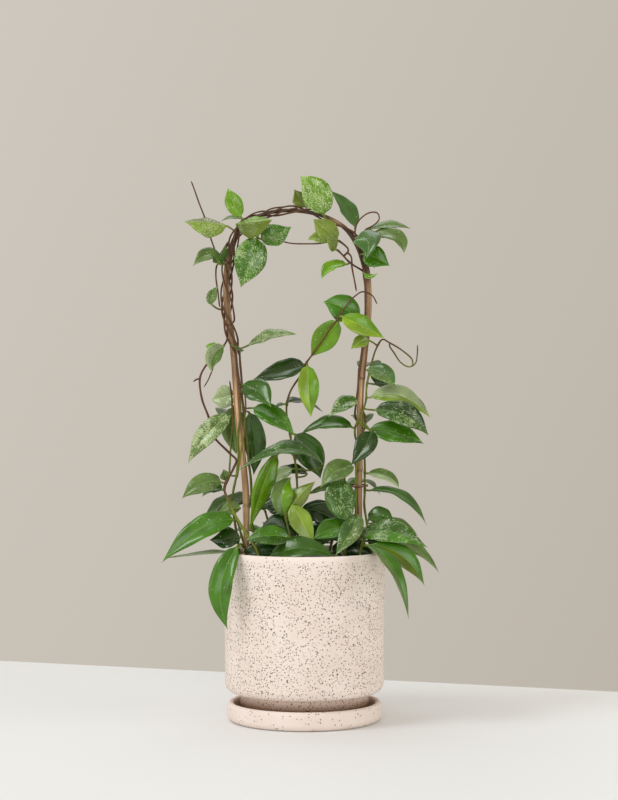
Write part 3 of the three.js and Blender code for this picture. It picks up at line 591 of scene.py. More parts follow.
class Graph:
    """The nodes of a material or of the world, which end in one shader."""

    def __init__(self, name, kind="materials", shader="Principled BSDF"):
        self.owner = getattr(bpy.data, kind).new(name)
        self.owner.use_nodes = True
        self.tree = self.owner.node_tree
        self.shader = self.tree.nodes[shader]

    def put(self, socket, value):
        if isinstance(value, Value):
            self.tree.links.new(value.socket, socket)
            return
        if socket.type == "RGBA" and len(value) == 3:
            value = (*value, 1)
        socket.default_value = value

    def node(self, kind, out=0, inputs=None, **settings):
        made = self.tree.nodes.new(kind)
        for key, value in settings.items():
            setattr(made, key, value)
        for key, value in (inputs or {}).items():
            self.put(made.inputs[key], value)
        return Value(self, made.outputs[out])

    def math(self, operation, *values):
        return self.node("ShaderNodeMath", operation=operation, inputs=dict(enumerate(values)))

    def span(self, value, low, high, a=0.0, b=1.0, kind="LINEAR"):
        return self.node("ShaderNodeMapRange", interpolation_type=kind,
                         inputs={0: value, 1: low, 2: high, 3: a, 4: b})

    def step(self, value, low, high, a=0.0, b=1.0):
        return self.span(value, low, high, a, b, "SMOOTHSTEP")

    def blend(self, share, a, b, mode="MIX"):
        return self.node("ShaderNodeMix", out=2, data_type="RGBA", blend_type=mode,
                         inputs={0: share, 6: a, 7: b})

    def shaded(self, colour, value, low, high, dark, light):
        """The colour, made darker or lighter as a value goes from low to high."""
        share = self.span(value, low, high, dark, light)
        return self.blend(1.0, colour, self.vector(share, share, share), "MULTIPLY")

    def noise(self, vector, scale, detail=2.0, roughness=0.5, distortion=0.0):
        return self.node("ShaderNodeTexNoise", inputs={
            "Vector": vector, "Scale": scale, "Detail": detail, "Roughness": roughness,
            "Distortion": distortion})

    def cells(self, vector, scale, out="Distance"):
        return self.node("ShaderNodeTexVoronoi", out=out, inputs={"Vector": vector, "Scale": scale})

    def vector(self, x, y, z):
        return self.node("ShaderNodeCombineXYZ", inputs={0: x, 1: y, 2: z})

    def parts(self, vector):
        made = self.tree.nodes.new("ShaderNodeSeparateXYZ")
        self.put(made.inputs[0], vector)
        return [Value(self, out) for out in made.outputs]

    def attribute(self, name, out="Vector"):
        return self.node("ShaderNodeAttribute", out=out, attribute_name=name)

    def object_mm(self):
        at = self.node("ShaderNodeTexCoord", out="Object")
        return self.node("ShaderNodeVectorMath", operation="SCALE",
                         inputs={0: at, "Scale": 1 / MM})

    def bump(self, height, distance):
        return self.node("ShaderNodeBump", inputs={
            "Height": height, "Distance": distance * MM, "Strength": 1.0})

    def finish(self, **sockets):
        for key, value in sockets.items():
            self.put(self.shader.inputs[key.replace("_", " ")], value)
        return self.owner


# Materials
VEIN_SLANT = math.radians(38)


def make_leaf_material():
    """Waxy leaf: silver flecks along the veins, a paler midrib, a paler margin that is partly a painted rim
    highlight, and a dull underside.
    """
    g = Graph("hoya_leaf")
    x, y, face = g.parts(g.attribute("plant_place"))
    j, on_blade, _ = g.parts(g.attribute("plant_share"))
    tone = g.attribute("plant_tone", "Color")
    fleck = g.attribute("plant_tone", "Alpha")
    reach = abs(y)
    back = 1.0 - face

    # Side veins leave the midrib forwards, so marks are drawn out along that slant.
    down_vein = x * math.cos(VEIN_SLANT) + reach * math.sin(VEIN_SLANT)
    over_vein = reach * math.cos(VEIN_SLANT) - x * math.sin(VEIN_SLANT)
    offset = (y > 0.0) * 31.0
    marks_at = g.vector(down_vein * 0.38, over_vein * 1.35, offset)
    fine = g.noise(marks_at, 1.0, 2.5, 0.62, distortion=0.4)
    plain_at = g.vector(x, y, offset)
    cluster = g.noise(plain_at, 0.11, 1.0)
    wide = g.noise(plain_at, 0.05, 1.0)
    limit = 0.76 - fleck * 0.27 - (cluster - 0.5) * 0.5
    silver = g.step(fine - limit, 0.0, 0.045)
    dot_draw = g.parts(g.cells(plain_at, 0.24, "Color"))[0]
    dotted = g.step(g.cells(plain_at, 0.24), 0.1, 0.14, 1.0, 0.0) * (dot_draw > 0.62)
    silver = g.math("MAXIMUM", silver, dotted * (fleck > 0.05)) * face * on_blade

    vein_wave = g.math("SINE", over_vein * 1.25 + wide * 2.0)
    vein = g.math("POWER", abs(vein_wave), 14.0) * on_blade
    rib = g.step(reach, 0.15, 0.6, 1.0, 0.0) * on_blade
    edge = g.step(abs(j), 0.93, 0.99) * on_blade

    colour = g.shaded(tone, wide, 0.32, 0.68, 0.76, 1.26)
    light = g.blend(1.0, colour, (0.035, 0.05, 0.012), "ADD")
    light = g.blend(1.0, light, (1.9, 1.75, 1.6), "MULTIPLY")
    # Lighter veins and midrib are the leaf's own; the lighter margin is partly its own and partly a painted
    # rim highlight.
    for mark, share in ((vein, 0.14), (rib, 0.5), (edge, 0.3)):
        colour = g.blend(mark * share, colour, light)
    under = g.blend(0.35, colour, LEAF_UNDER)
    under = g.blend(rib * 0.4, under, LEAF_UNDER_RIB)
    colour = g.blend(back * on_blade, colour, under)
    colour = g.blend(silver * 0.85, colour, g.blend(cluster * 0.5, LEAF_FLECK, tone))

    rough = wide * 0.2 + 0.17 + silver * 0.08 + back * 0.14
    height = vein * -0.5 + g.noise(plain_at, 1.4, 2.0) * 0.5 + silver * 0.25
    height = height + g.noise(plain_at, 0.13, 1.0) * 5.0
    return g.finish(Base_Color=colour, Roughness=rough, Normal=g.bump(height, 0.09), Coat_Weight=0.55,
                    Coat_Roughness=0.18, Specular_IOR_Level=0.3, Specular_Tint=(0.9, 1.0, 0.6))


def make_stem_material():
    """Wiry stem, smooth and green when young and woody brown higher up, with pale lenticels."""
    g = Graph("hoya_stem")
    x, y, z = g.parts(g.attribute("plant_place"))
    streak = g.noise(g.vector(x * 0.16, y, z), 1.6, 3.0, 0.6)
    patch = g.noise(g.vector(x * 0.05, y, z), 0.5, 1.0)
    colour = g.shaded(g.attribute("plant_tone", "Color"), streak, 0.3, 0.7, 0.6, 1.4)
    colour = g.blend(g.step(patch, 0.5, 0.66, 0.0, 0.45), colour, STEM_PATCH)
    dots = g.step(g.cells(g.vector(x * 0.7, y, z), 0.8), 0.12, 0.2, 1.0, 0.0)
    colour = g.blend(dots * 0.4, colour, STEM_DOT)
    return g.finish(Base_Color=colour, Roughness=streak * 0.25 + 0.38, Normal=g.bump(streak, 0.16),
                    Specular_IOR_Level=0.4, Specular_Tint=(1.0, 0.9, 0.7))


def make_cane_material():
    """Dry cane: tan, drawn out in brown streaks along its fibres, dark over the crown."""
    g = Graph("cane")
    x, y, z = g.parts(g.attribute("plant_place"))
    ring, crown, brown = g.parts(g.attribute("plant_share"))
    fibre = g.noise(g.vector(x * 0.06, y, z), 1.5, 4.0, 0.65)
    streak = g.noise(g.vector(x * 0.022, y, z), 0.42, 2.0, 0.55)
    patch = g.noise(g.vector(x * 0.02, y * 0.15, z), 1.0, 1.0)
    colour = g.blend(g.step(fibre, 0.32, 0.7), CANE_TAN, CANE_PALE)
    colour = g.blend(g.step(streak, 0.48, 0.6, 0.0, 0.8), colour, CANE_STREAK)
    colour = g.blend(g.step(patch, 0.5, 0.7, 0.0, 0.5), colour, CANE_PATCH)
    colour = g.blend(brown * 0.62, colour, CANE_BROWN)
    colour = g.blend(crown * 0.92, colour, CANE_CROWN)
    colour = g.blend(ring, colour, CANE_RING)
    return g.finish(Base_Color=colour, Roughness=fibre * 0.2 + 0.5,
                    Normal=g.bump(fibre + streak * 0.6, 0.22), Specular_IOR_Level=0.35)


# Speck sizes: cells to a millimetre, least and most reach in cells, share left out
SPECKS = ((0.44, 0.21, 0.3, 0.22), (0.65, 0.18, 0.27, 0.5), (0.25, 0.16, 0.21, 0.75))


def make_ceramic_material():
    """Cream stoneware with many fine dark specks that fired through from the clay."""
    g = Graph("speckled_ceramic")
    at = g.object_mm()
    colour = g.blend(g.step(g.noise(at, 0.03, 2.0), 0.3, 0.7), *GLAZE)
    colour = g.blend(1.0, colour, g.attribute("plant_tone", "Color"), "MULTIPLY")
    sparse = 1.0 - g.attribute("plant_tone", "Alpha")
    crowd = (g.noise(at, 0.05, 1.0) - 0.5) * 0.5 - sparse
    specks = []
    for scale, least, most, few in SPECKS:
        draw = g.parts(g.cells(at, scale, "Color"))
        size = draw[1] * (most - least) + least
        inside = g.step(g.cells(at, scale) - size, -0.02, 0.02, 1.0, 0.0)
        specks.append(inside * (draw[0] + crowd > few))
    total = g.math("MAXIMUM", g.math("MAXIMUM", specks[0], specks[1]), specks[2])
    colour = g.blend(total, colour, g.blend(g.noise(at, 0.6, 0.0), *SPECK_TONES))
    grain = g.noise(at, 1.1, 3.0, 0.6)
    return g.finish(Base_Color=colour, Roughness=grain * 0.16 + 0.5,
                    Normal=g.bump(grain * 0.4 - total * 0.5, 0.05), Specular_IOR_Level=0.22)


def make_soil_material():
    """Damp potting mix, nearly black, with browner bits of bark."""
    g = Graph("potting_soil")
    crumb = g.noise(g.object_mm(), 0.55, 4.0, 0.65)
    colour = g.blend(g.step(crumb, 0.35, 0.7), SOIL_DARK, SOIL_LIGHT)
    colour = g.blend(0.5, colour, g.attribute("plant_tone", "Color"))
    return g.finish(Base_Color=colour, Roughness=crumb * 0.3 + 0.6, Normal=g.bump(crumb, 0.6),
                    Specular_IOR_Level=0.3)


def make_tie_material():
    """Paper-covered wire."""
    g = Graph("paper_tie")
    paper = g.noise(g.object_mm(), 2.2, 3.0, 0.6)
    colour = g.blend(g.step(paper, 0.3, 0.7), *PAPER_TONES)
    return g.finish(Base_Color=colour, Roughness=paper * 0.2 + 0.6, Normal=g.bump(paper, 0.1))


def make_floor_material():
    """A pale table, a little lighter at the right: painted light that evens out the foliage's shadow there.
    """
    g = Graph("pale_table")
    at = g.object_mm()
    colour = g.blend(g.noise(at, 0.004, 2.0), *TABLE_TONES)
    # Painted light: lighter towards the right, where the foliage's shadow falls.
    colour = g.blend(g.step(g.parts(at)[0], 100, 420), colour, TABLE_LIT)
    return g.finish(Base_Color=colour, Roughness=0.55, Normal=g.bump(g.noise(at, 0.8, 2.0), 0.02),
                    Specular_IOR_Level=0.3)


def make_wall():
    """The wall far behind: warm grey, a little darker to the right and lower down."""
    g = Graph("studio", "worlds", "Background")
    x, _, z = g.parts(g.node("ShaderNodeTexCoord", out="Generated"))
    return g.finish(Color=g.blend(g.span(z * -0.45 + x, -0.24, 0.24), *WALL_TONES), Strength=1.0)


leaf_material = make_leaf_material()
stem_material = make_stem_material()
cane_material = make_cane_material()
ceramic_material = make_ceramic_material()
soil_material = make_soil_material()
tie_material = make_tie_material()
floor_material = make_floor_material()


# Hoop and tie
def build_hoop():
    """The cane, with its knots and a few loose fibres on the right leg."""
    rows = int(HOOP_LENGTH / HOOP_STEP)
    shares = np.linspace(0, 1, rows)
    distance = shares * HOOP_LENGTH
    centre = HOOP_LINE.point(shares)
    angle = around(HOOP_SIDES)
    height, right = centre[:, 2], centre[:, 0] > 0
    radius = hoop_radius(height) * (1 + 0.02 * np.sin(distance / 11) + 0.015 * np.sin(distance / 4.3))
    ring_mark = np.zeros(rows)
    for knot in CANE_KNOTS:
        radius = radius * (1 + CANE_KNOT.swell * hump(distance - knot, CANE_KNOT.wide))
        ring_mark = np.maximum(ring_mark, hump(distance - knot - 1.5, 1.1))
    wide = np.outer(radius, 1 + 0.03 * np.cos(2 * angle + 0.7))
    crown = np.where(right, smooth(height, *RIGHT_LEG_CROWN), smooth(height, *LEFT_LEG_CROWN))
    crown = crown * (1 - 0.9 * hump(norm(centre - place(CROWN_PATCH)), 7))
    # On the left leg the brown is partly painted shade; on the right leg it is the cane's own colour.
    brown = np.where(right, 0.8 * (1 - hump(height - RIGHT_LEG_FRESH, 16)), smooth(height, *LEFT_LEG_BROWN))
    share = np.column_stack([np.repeat(row, HOOP_SIDES) for row in (ring_mark * 0.8, crown, brown)])
    shell = Shell()
    add_tube(shell, centre, frames_along(centre), wide * np.cos(angle), wide * np.sin(angle),
             where=tube_place(distance, angle, 3), share=capped(share))
    add_fray(shell)
    shell.piece("cane_hoop_bent", [cane_material], "cane_hoop")


def add_fray(shell):
    """Short fibres that stand off the right leg."""
    rng = np.random.default_rng(FRAY.seed)
    for _ in range(FRAY.count):
        leg = place([FRAY.across, rng.uniform(*FRAY.heights)])
        turn = rng.uniform(*np.radians(FRAY.turns))
        out = np.array([math.cos(turn), math.sin(turn), 0])
        start = leg + out * (HOOP.leg_radius - 0.5)
        reach = rng.uniform(*FRAY.reach)
        end = start + out * reach * 0.5 + np.array([0, 0, reach * rng.choice([-1, 1]) * 0.8])
        fibre = Line([start, (start + end) / 2 + out * 0.5, end])
        add_stem(shell, fibre, 0.3, 0.12)


def build_tie():
    """A wire in a flat paper sleeve, looped once round the leg."""
    leg = place([TIE.across, TIE.height])
    share = np.linspace(0, 1, 61)
    a = 2 * math.pi * (share * TIE.turns + TIE.start)
    line = Line(np.column_stack([
        leg[0] + TIE.radius * np.cos(a),
        TIE.radius * np.sin(a),
        leg[2] + TIE.tilt * np.sin(a) + TIE.rise * (share - 0.5),
    ]))
    centre = line.point(np.linspace(0, 1, TIE_ROWS))
    angle = around(TIE_SIDES)[None]
    wing = mix(1, PAPER.edge, 1 - np.abs(np.cos(angle)) ** 2.2)
    shell = Shell()
    add_tube(shell, centre, frames_along(centre), PAPER.half_width * wing * np.cos(angle),
             PAPER.half_thick * np.sin(angle))
    shell.piece("twist_tie_wire", [tie_material], "twist_tie")


# Pot, saucer and soil
def quarter(centre_radius, centre_height, radius, start, end, steps):
    """Points of a rounded corner, between two angles in degrees."""
    a = np.radians(np.linspace(start, end, steps + 1))
    return [(centre_radius + radius * math.cos(v), centre_height + radius * math.sin(v)) for v in a]


def finer(outline, closed):
    """The outline with its long sides split, so that its faces stay near square."""
    ends = outline[1:] + (outline[:1] if closed else [])
    points = []
    for (r0, h0), (r1, h1) in zip(outline, ends):
        count = max(1, math.ceil(math.hypot(r1 - r0, h1 - h0) / TURNED_STEP))
        points += [(r0 + (r1 - r0) * i / count, h0 + (h1 - h0) * i / count) for i in range(count)]
    return points if closed else points + [outline[-1]]


def turned(outline, tone_at):
    """An outline of (radius, height) turned about the upright axis, closed on itself or at the axis."""
    on_axis = outline[0][0] == 0
    rows = outline[1:-1] if on_axis else outline
    points = np.array([[r * math.cos(a), r * math.sin(a), h] for r, h in rows
                       for a in around(TURNED_SIDES)])
    tones = np.repeat([tone_at(r, h) for r, h in rows], TURNED_SIDES, axis=0)
    if on_axis:
        points = np.vstack([points, [0, 0, outline[0][1]], [0, 0, outline[-1][1]]])
        tones = capped(tones)
    return points, band_faces(len(rows), TURNED_SIDES, wrapped=not on_axis), tones


def pot_tone(radius, height):
    """Glaze with few specks on the rim, lightened there as a painted highlight, and bare clay on the foot,
    darker towards its ground: partly the clay, partly painted shade in the gap above the saucer.
    """
    # The rim: fewer specks, and a tint above 1 that is a painted highlight.
    if height > POT.rim_height - 2.6:
        return RIM_HIGHLIGHT_AND_FEW_SPECKS
    if radius > POT.foot_radius + 1.7 or height > POT.body_bottom:
        return PLAIN
    # Painted shade: the foot darkens towards the saucer, where the gap between them is in shade.
    low = smooth(height, 17, 29)
    return 0.22 + 0.78 * low, 0.12 + 0.82 * low, 0.06 + 0.82 * low, 1


def build_pot():
    body, rim, top, bottom = POT.body_radius, POT.rim_radius, POT.rim_height, POT.body_bottom
    foot_radius, foot, wall, corner = POT.foot_radius, POT.foot_bottom, POT.wall, POT.corner
    inside, in_foot, floor = body - wall, foot_radius - wall, foot + POT.floor
    outline = [
        (POT.drain, foot + 1.5),
        (foot_radius - 8, foot + 1.5),
        (foot_radius - 7, foot + 0.2),
        (foot_radius - 6.4, foot),
        (foot_radius - 1.2, foot),
        (foot_radius - 0.3, foot + 0.4),
        (foot_radius, foot + 1.2),
        (foot_radius, bottom - 2),
        (foot_radius + 0.4, bottom - 0.6),
        (foot_radius + 1.6, bottom),
        *quarter(body - corner, bottom + corner, corner, -90, 0, 10),
        *quarter(rim - 2.2, top - 2.2, 2.2, 0, 90, 7),
        *quarter(rim - 3.1, top - 1.9, 1.9, 90, 180, 6),
        (inside, bottom + wall + 6),
        (inside - 1.8, bottom + wall + 1.8),
        (inside - 6, bottom + wall),
        (in_foot, bottom + wall),
        (in_foot, floor + 2),
        (in_foot - 2, floor),
        (POT.drain, floor),
    ]
    shell = Shell()
    shell.add(*turned(finer(outline, True), pot_tone))
    shell.piece("pot_speckled", [ceramic_material], "pot")


def build_saucer():
    radius, bore, floor, corner = SAUCER.radius, SAUCER.bore, SAUCER.floor, SAUCER.corner
    rim = (radius - bore) / 2
    outline = [
        (0, 0),
        *quarter(radius - corner, corner, corner, -90, 0, 8),
        *quarter(radius - rim, SAUCER.height - rim, rim, 0, 180, 12),
        (bore - 0.3, floor + 2.2),
        (bore - 0.9, floor + 0.9),
        (bore - 2.5, floor),
        (0, floor),
    ]
    shell = Shell()
    shell.add(*turned(finer(outline, False), lambda radius, height: SAUCER_TONE))
    shell.piece("saucer_speckled", [ceramic_material], "saucer")


def soil_swell(x, y):
    """How far the top of the soil rises or dips there."""
    return 2.0 * np.sin(x / 9 + 1.3) * np.cos(y / 8) + 0.6 * np.sin((x + y) / 3.7)


# A box of eight points that each bit of bark starts from
BOX = np.array([[x, y, z] for x in (-1, 1) for y in (-1, 1) for z in (-1, 1)], float)
BOX_FACES = [(0, 1, 3, 2), (4, 6, 7, 5), (0, 4, 5, 1), (2, 3, 7, 6), (0, 2, 6, 4), (1, 5, 7, 3)]


def add_bark(shell, edge):
    """Loose bits of bark and peat, half sunk in the top of the soil."""
    rng = np.random.default_rng(BARK.seed)
    for _ in range(BARK.count):
        reach = (edge - 5) * math.sqrt(rng.uniform(0, 1))
        turn = rng.uniform(0, 2 * math.pi)
        x, y = reach * math.cos(turn), reach * math.sin(turn)
        size = rng.uniform(*BARK.size) * np.array(
            [1.0, rng.uniform(*BARK.broad), rng.uniform(*BARK.flat)])
        bit = BOX * size * rng.uniform(*BARK.uneven, BOX.shape)
        spin, tilt = rng.uniform(0, 2 * math.pi), rng.uniform(-0.7, 0.7)
        bit = bit @ np.array(Matrix.Rotation(spin, 3, "Z") @ Matrix.Rotation(tilt, 3, "Y")).T
        bit += [x, y, SOIL_TOP - 1 + soil_swell(x, y) + rng.uniform(-0.3, 0.7)]
        tone = mix(BARK_DARK, BARK_WARM, rng.uniform(0, 1) ** 2)
        shell.add(bit, BOX_FACES, [*tone, 1])


def build_soil():
    """Potting mix: an uneven top, with loose bits of bark and peat sunk in it."""
    inside = POT.body_radius - POT.wall - GAP
    in_foot = POT.foot_radius - POT.wall - GAP
    floor = POT.foot_bottom + POT.floor + GAP
    flare = (POT.rim_radius - POT.body_radius) * 0.89
    edge = inside + flare - 0.2
    shelf = POT.body_bottom + POT.wall + GAP
    side = [(0, floor), (in_foot - 2, floor), (in_foot, floor + 2.2), (in_foot, shelf), (inside - 6, shelf),
            (inside - 1.8, shelf + 2), (inside, shelf + 6.4), (edge, SOIL_TOP - 2)]
    top = [(edge * i / SOIL_RINGS, SOIL_TOP - 1) for i in range(SOIL_RINGS, -1, -1)]
    points, faces, tones = turned(side + top, lambda radius, height: (*SOIL_TONE, 1))
    on_top = np.arange(len(points)) >= (len(side) - 1) * TURNED_SIDES
    on_top[-2] = False
    x, y = points[:, 0], points[:, 1]
    crumb = 0.8 * np.sin(x / 1.7 + 2 * np.sin(y / 2.3)) * np.sin(y / 1.9 + x / 5.1)
    away = np.clip((edge - np.hypot(x, y)) / 6, 0, 1)
    points[:, 2] += np.where(on_top, (soil_swell(x, y) + crumb) * (0.35 + 0.65 * away), 0)
    shell = Shell()
    shell.add(points, faces, tones)
    add_bark(shell, edge)
    shell.piece("soil_crumbly", [soil_material], "soil")


build_saucer()
build_pot()
build_soil()
build_hoop()
build_tie()


# The vines
# Each call gives a node, a number that varies its forms and the place of its root, then two lists.
# A stem is [route, its radius at the start, and at the end]. The first one stands in the soil.
# A leaf is [base, middle of its midrib, tip, width, turn, tone, share of silver flecks], with its
# fold at the end where that isn't the usual one. A tone with a stroke paints one half lit, the other
# shaded.
leafy_stem("left_arch_vine", 1, foot_beside(135, 0), [
    [winding(135, 514, 0), 1.35, 0.9],
    [[[-49, 489, -8], [-47, 480, -6]], 1, 0.9],
    [winding(305, 470, 60), 0.95, 0.8],
], [
    [[-63.5, 500, -5], [-71.5, 515, -8], [-76.5, 529, -5], 18, 10, "bright", 0.5],
    [[-68, 493, -10], [-50, 495.5, -20], [-32, 497, -26], 32, 30, "bright/olive", 0.35, -32],
    [[-77.5, 491, -9], [-99, 494.5, -16], [-120.5, 495.5, -22], 28, 35, "lime/olive", 0.7, -28],
    [[-65, 499, 5], [-75, 499, 12], [-84, 495.5, 21], 14, 60, "grey", 0.15],
    [[-47.5, 479, -7], [-55, 456, -13], [-64, 429, -9], 33, 8, "rich", 0.8, 10],
    [[-44, 478, -4], [-29.5, 482, 0], [-12.5, 490.5, 3], 25, 20, "rich", 0.8, 8],
    [[-56.5, 371.5, -8], [-33.5, 381, -18], [-7, 382.7, -24], 24, 58, "grey", 0.8],
    [[-63, 366, -11], [-68, 369, -20], [-75, 373, -30], 14, 60, "mature", 0.2],
    [[-62, 332, -8], [-46.5, 326, -24], [-33.2, 309.3, -40], 26, 22, "mature", 0.12, 6],
    [[-51.5, 309, -7], [-29.5, 300, -20], [-9.6, 281.5, -28], 22, 25, "rich", 0.3],
    [[-55.5, 305, 8], [-50, 274, 15], [-51, 241, 15], 24, 15, "mature", 0.02],
    [[-57, 217, 10], [-72, 215, 17], [-88, 204, 22], 24, 50, "dark", 0.1],
], brown=(250, 345))

leafy_stem("left_twining_vine", 2, [-65, -12], [
    [[[-66.5, 176, -11.5], [-70, 196, -10.5], [-72, 212, -10], [-71, 228, -9.5], [-67.5, 244, -8],
      [-66.3, 258, -7.5], [-66.5, 274, -7], [-65.3, 292, -6.8], [-64, 310, -6.5], [-64.5, 325, -6.3],
      *winding(290, 497, 300)], 1.3, 0.75],
    [[[-74, 242, -3], [-74.5, 258, 4], [-73, 278, 8], [-72, 298, 9], [-72.5, 318, 9],
      [-75, 336, 9]], 1, 0.8],
    [[[-67.5, 240, -10], [-65, 256, -11], [-62, 274, -10], [-60, 292, -8], [-59, 308, -7],
      [-60, 326, -7]], 1.05, 0.8],
], [
    [[-86.5, 453, -12], [-96, 462.5, -17], [-112, 450.5, -24], 20, 40, "grey", 0.1],
    [[-83.5, 454, -9], [-81, 463, -13], [-78.5, 472, -14], 12, 55, "mature", 0.05],
    [[-93, 412.5, -6], [-92.5, 422, -10], [-86, 431, -12], 11, 15, "grey", 0.6],
    [[-69.5, 323.5, 13], [-80.5, 319.5, 16], [-93.5, 317, 20], 26, 20, "pale", 0.35],
    [[-68, 311, 13], [-71, 287, 17], [-68, 262, 16], 26, 0, "grey", 0.3],
    [[-74, 302, 16], [-79, 307, 38], [-84, 298, 62], 22, 90, "mature", 0.4],
])

leafy_stem("left_loop_vine", 3, [-44, -43], [
    [[[-48.5, 169, -43], [-54, 177, -41], [-63, 191, -37], [-71, 205.5, -32], [-77, 218, -27],
      [-80, 228, -23], [-76, 239, -19], [-71, 249, -16], [-68, 257, -15], [-75, 264, -13],
      [-89.5, 279, -12], [-95.5, 298, -12], [-102, 317, -14], [-105, 333.4, -14], [-104.2, 341, -14],
      [-100, 349, -13], [-91, 361, -8], *winding(317, 415, 240), [-87, 461, 4], [-90.5, 470, 3],
      [-94, 480, 2], [-100.5, 501, 1], [-107, 519, 0], [-113.5, 535.5, 0]], 1.4, 0.7],
    [[[-107, 338, -15], [-111, 335.5, -16]], 0.95, 0.8],
    [[[-91.5, 352, -9], [-95, 340, -10], [-100.5, 330, -10]], 0.8, 0.6],
    [winding(335, 480, 180), 0.9, 0.75],
    [[[-87.5, 452, 6], [-88.5, 440, 7], [-87, 426, 7], [-84.5, 410, 5]], 0.85, 0.75],
], [
    [[-73.9, 301, -13], [-97.5, 283, -22], [-116.7, 253, -28], 22, 15, "grey", 0.95],
    [[-80.5, 371, -8], [-92.5, 360, -14], [-92.5, 344.5, -18], 18, 25, "grey/pale", 0.1],
    [[-87, 369, 1], [-93.5, 371, 7], [-99.5, 371, 12], 10, 40, "bright", 0.2],
    [[-83, 234.5, -18], [-103, 233, -26], [-123, 218, -30], 21, 20, "grey", 0.25],
    [[-79.5, 237, -16], [-79.5, 242, -19], [-81.5, 248, -22], 11, 10, "grey", 0.05],
    [[-82.5, 227, -15], [-92.5, 228, -12], [-102.8, 220, -9], 16, 55, "mature", 0.1],
    [[-76, 215.5, -18], [-87, 210.5, -9], [-103, 194, -1], 22, 50, "mature", 0.05],
    [[-64, 209, -20], [-75, 208, -22], [-87, 201, -24], 16, 35, "grey", 0.3],
], brown=(205, 235))

leafy_stem("left_rim_shoot", 4, [-57, -25], [
    [[[-59, 168, -25], [-63, 181, -25], [-67, 195, -25]], 1.5, 1],
    [[[-61, 170, -32], [-63, 173, -41]], 1.2, 1],
], [
    [[-70, 197, -28.5], [-104.5, 187.5, -38], [-143.5, 153.5, -46], 27, 35, "rich", 0.12],
    [[-64, 180, -31], [-78, 178, -31], [-95.5, 177, -28], 28, 45, "dark", 0.1],
    [[-72, 165, -41], [-104, 163, -40], [-141, 158.5, -38], 20, 88, "grey", 0.02],
    [[-66.5, 171.5, -47], [-83.5, 130, -64], [-76.5, 87, -60], 26, -20, "rich", 0.2],
])

leafy_stem("centre_vine", 5, [-7, 6], [
    [[[-7, 205, 5], [-7.5, 238, 4], [-11.5, 267.5, 2], [-16, 290, 0], [-18, 311, -2], [-15, 323.5, -3],
      [-4.5, 341, -5], [2, 354, -8], [7, 361, -11], [20.5, 380, -15], [33.5, 399, -16], [41, 410, -15],
      [50.5, 421, -13], [58, 425.5, -12], [67.5, 421.5, -11], [72.5, 413, -9]], 1.35, 0.7],
], [
    [[0.5, 352.5, -6], [-23.5, 345.5, -2], [-51.9, 337.5, 4], 26, 36, "dark", 0.15, 14],
    [[2.8, 352, -10], [4, 327, -17], [6.5, 299.3, -15], 22, 10, "bright/glow", 0.15, 14],
    [[34.5, 396, -14], [19.5, 378, -9], [6, 359.5, -7], 25, -5, "bright", 0.08, 6],
    [[37.5, 400.5, -18], [57.5, 391, -24], [80.5, 378.6, -22], 22, 25, "bright/glow", 0.2],
    [[-17.5, 315, 2], [1, 314.5, 11], [18.8, 304.5, 18], 22, 75, "deep", 0.02],
    [[-19.5, 313, -5], [-24, 312, -10], [-29, 310, -15], 9, 70, "mature", 0.1],
    [[-10, 283, 3], [6.5, 262, 9], [16, 238, 12], 29, 10, "mature", 0.1],
    [[19, 251, -8], [-17, 268, -22], [-67.5, 245, -30], 30, 66, "blue", 0.4],
    [[-27, 263, -8], [-42.5, 229.5, -22], [-55, 187, -28], 24, 40, "bright", 0.15],
    [[-12.5, 248, 0], [-27.5, 239, -5], [-37.5, 226, -6], 18, 40, "pale", 0.1],
    [[3, 243, 9], [-16, 247.5, 13], [-35, 243, 16], 20, 65, "deep", 0.02],
    [[-8, 262, 8], [-10, 268, 34], [-8, 256, 58], 24, 90, "mature", 0.3],
    [[-10, 214, 9], [-18, 226, 40], [-26, 210, 70], 26, 90, "rich", 0.2],
    [[-11, 172, 12], [-30, 184, 16], [-50, 178, 14], 28, 35, "deep", 0.05],
    [[-3, 170, 13], [16, 182, 18], [36, 176, 18], 28, 35, "mature", 0.05],
    [[-4, 196, 14], [14, 206, 18], [32, 200, 16], 26, 35, "deep", 0.03],
], brown=(290, 345))

leafy_stem("centre_front_shoot", 6, [-12, -38], [
    [[[-13, 169, -38], [-15, 182, -36], [-18.5, 199, -31]], 1.4, 1],
], [
    [[-14, 179, -42], [-36.5, 181, -52], [-59.2, 176.5, -54], 24, 35, "mature/rich", 0.4],
    [[-36, 159, -47], [-2, 169, -57], [31, 159, -56], 30, 50, "mature", 0.15],
    [[-22, 163, -32], [-42, 168, -34], [-63, 164, -32], 22, 40, "deep", 0.05],
    [[-12.5, 212, -33], [-2.5, 195, -44], [10.5, 168, -49], 22, 15, "lime", 0.02, -8],
    [[-19.5, 201, -31], [-22.5, 224, -33], [-13, 240, -14], 23, 5, "grey/bright", 0.06],
    [[-18.5, 202, -31], [-5.5, 221, -30], [11.5, 236, -26], 19, 15, "moss", 0.08, -28],
    [[-9, 178, -26], [-26, 191, -27], [-44, 188, -27], 26, 30, "deep", 0.06],
    [[-15, 197, -26], [-29, 212, -12], [-46, 206, -8], 22, 30, "deep", 0.03],
])

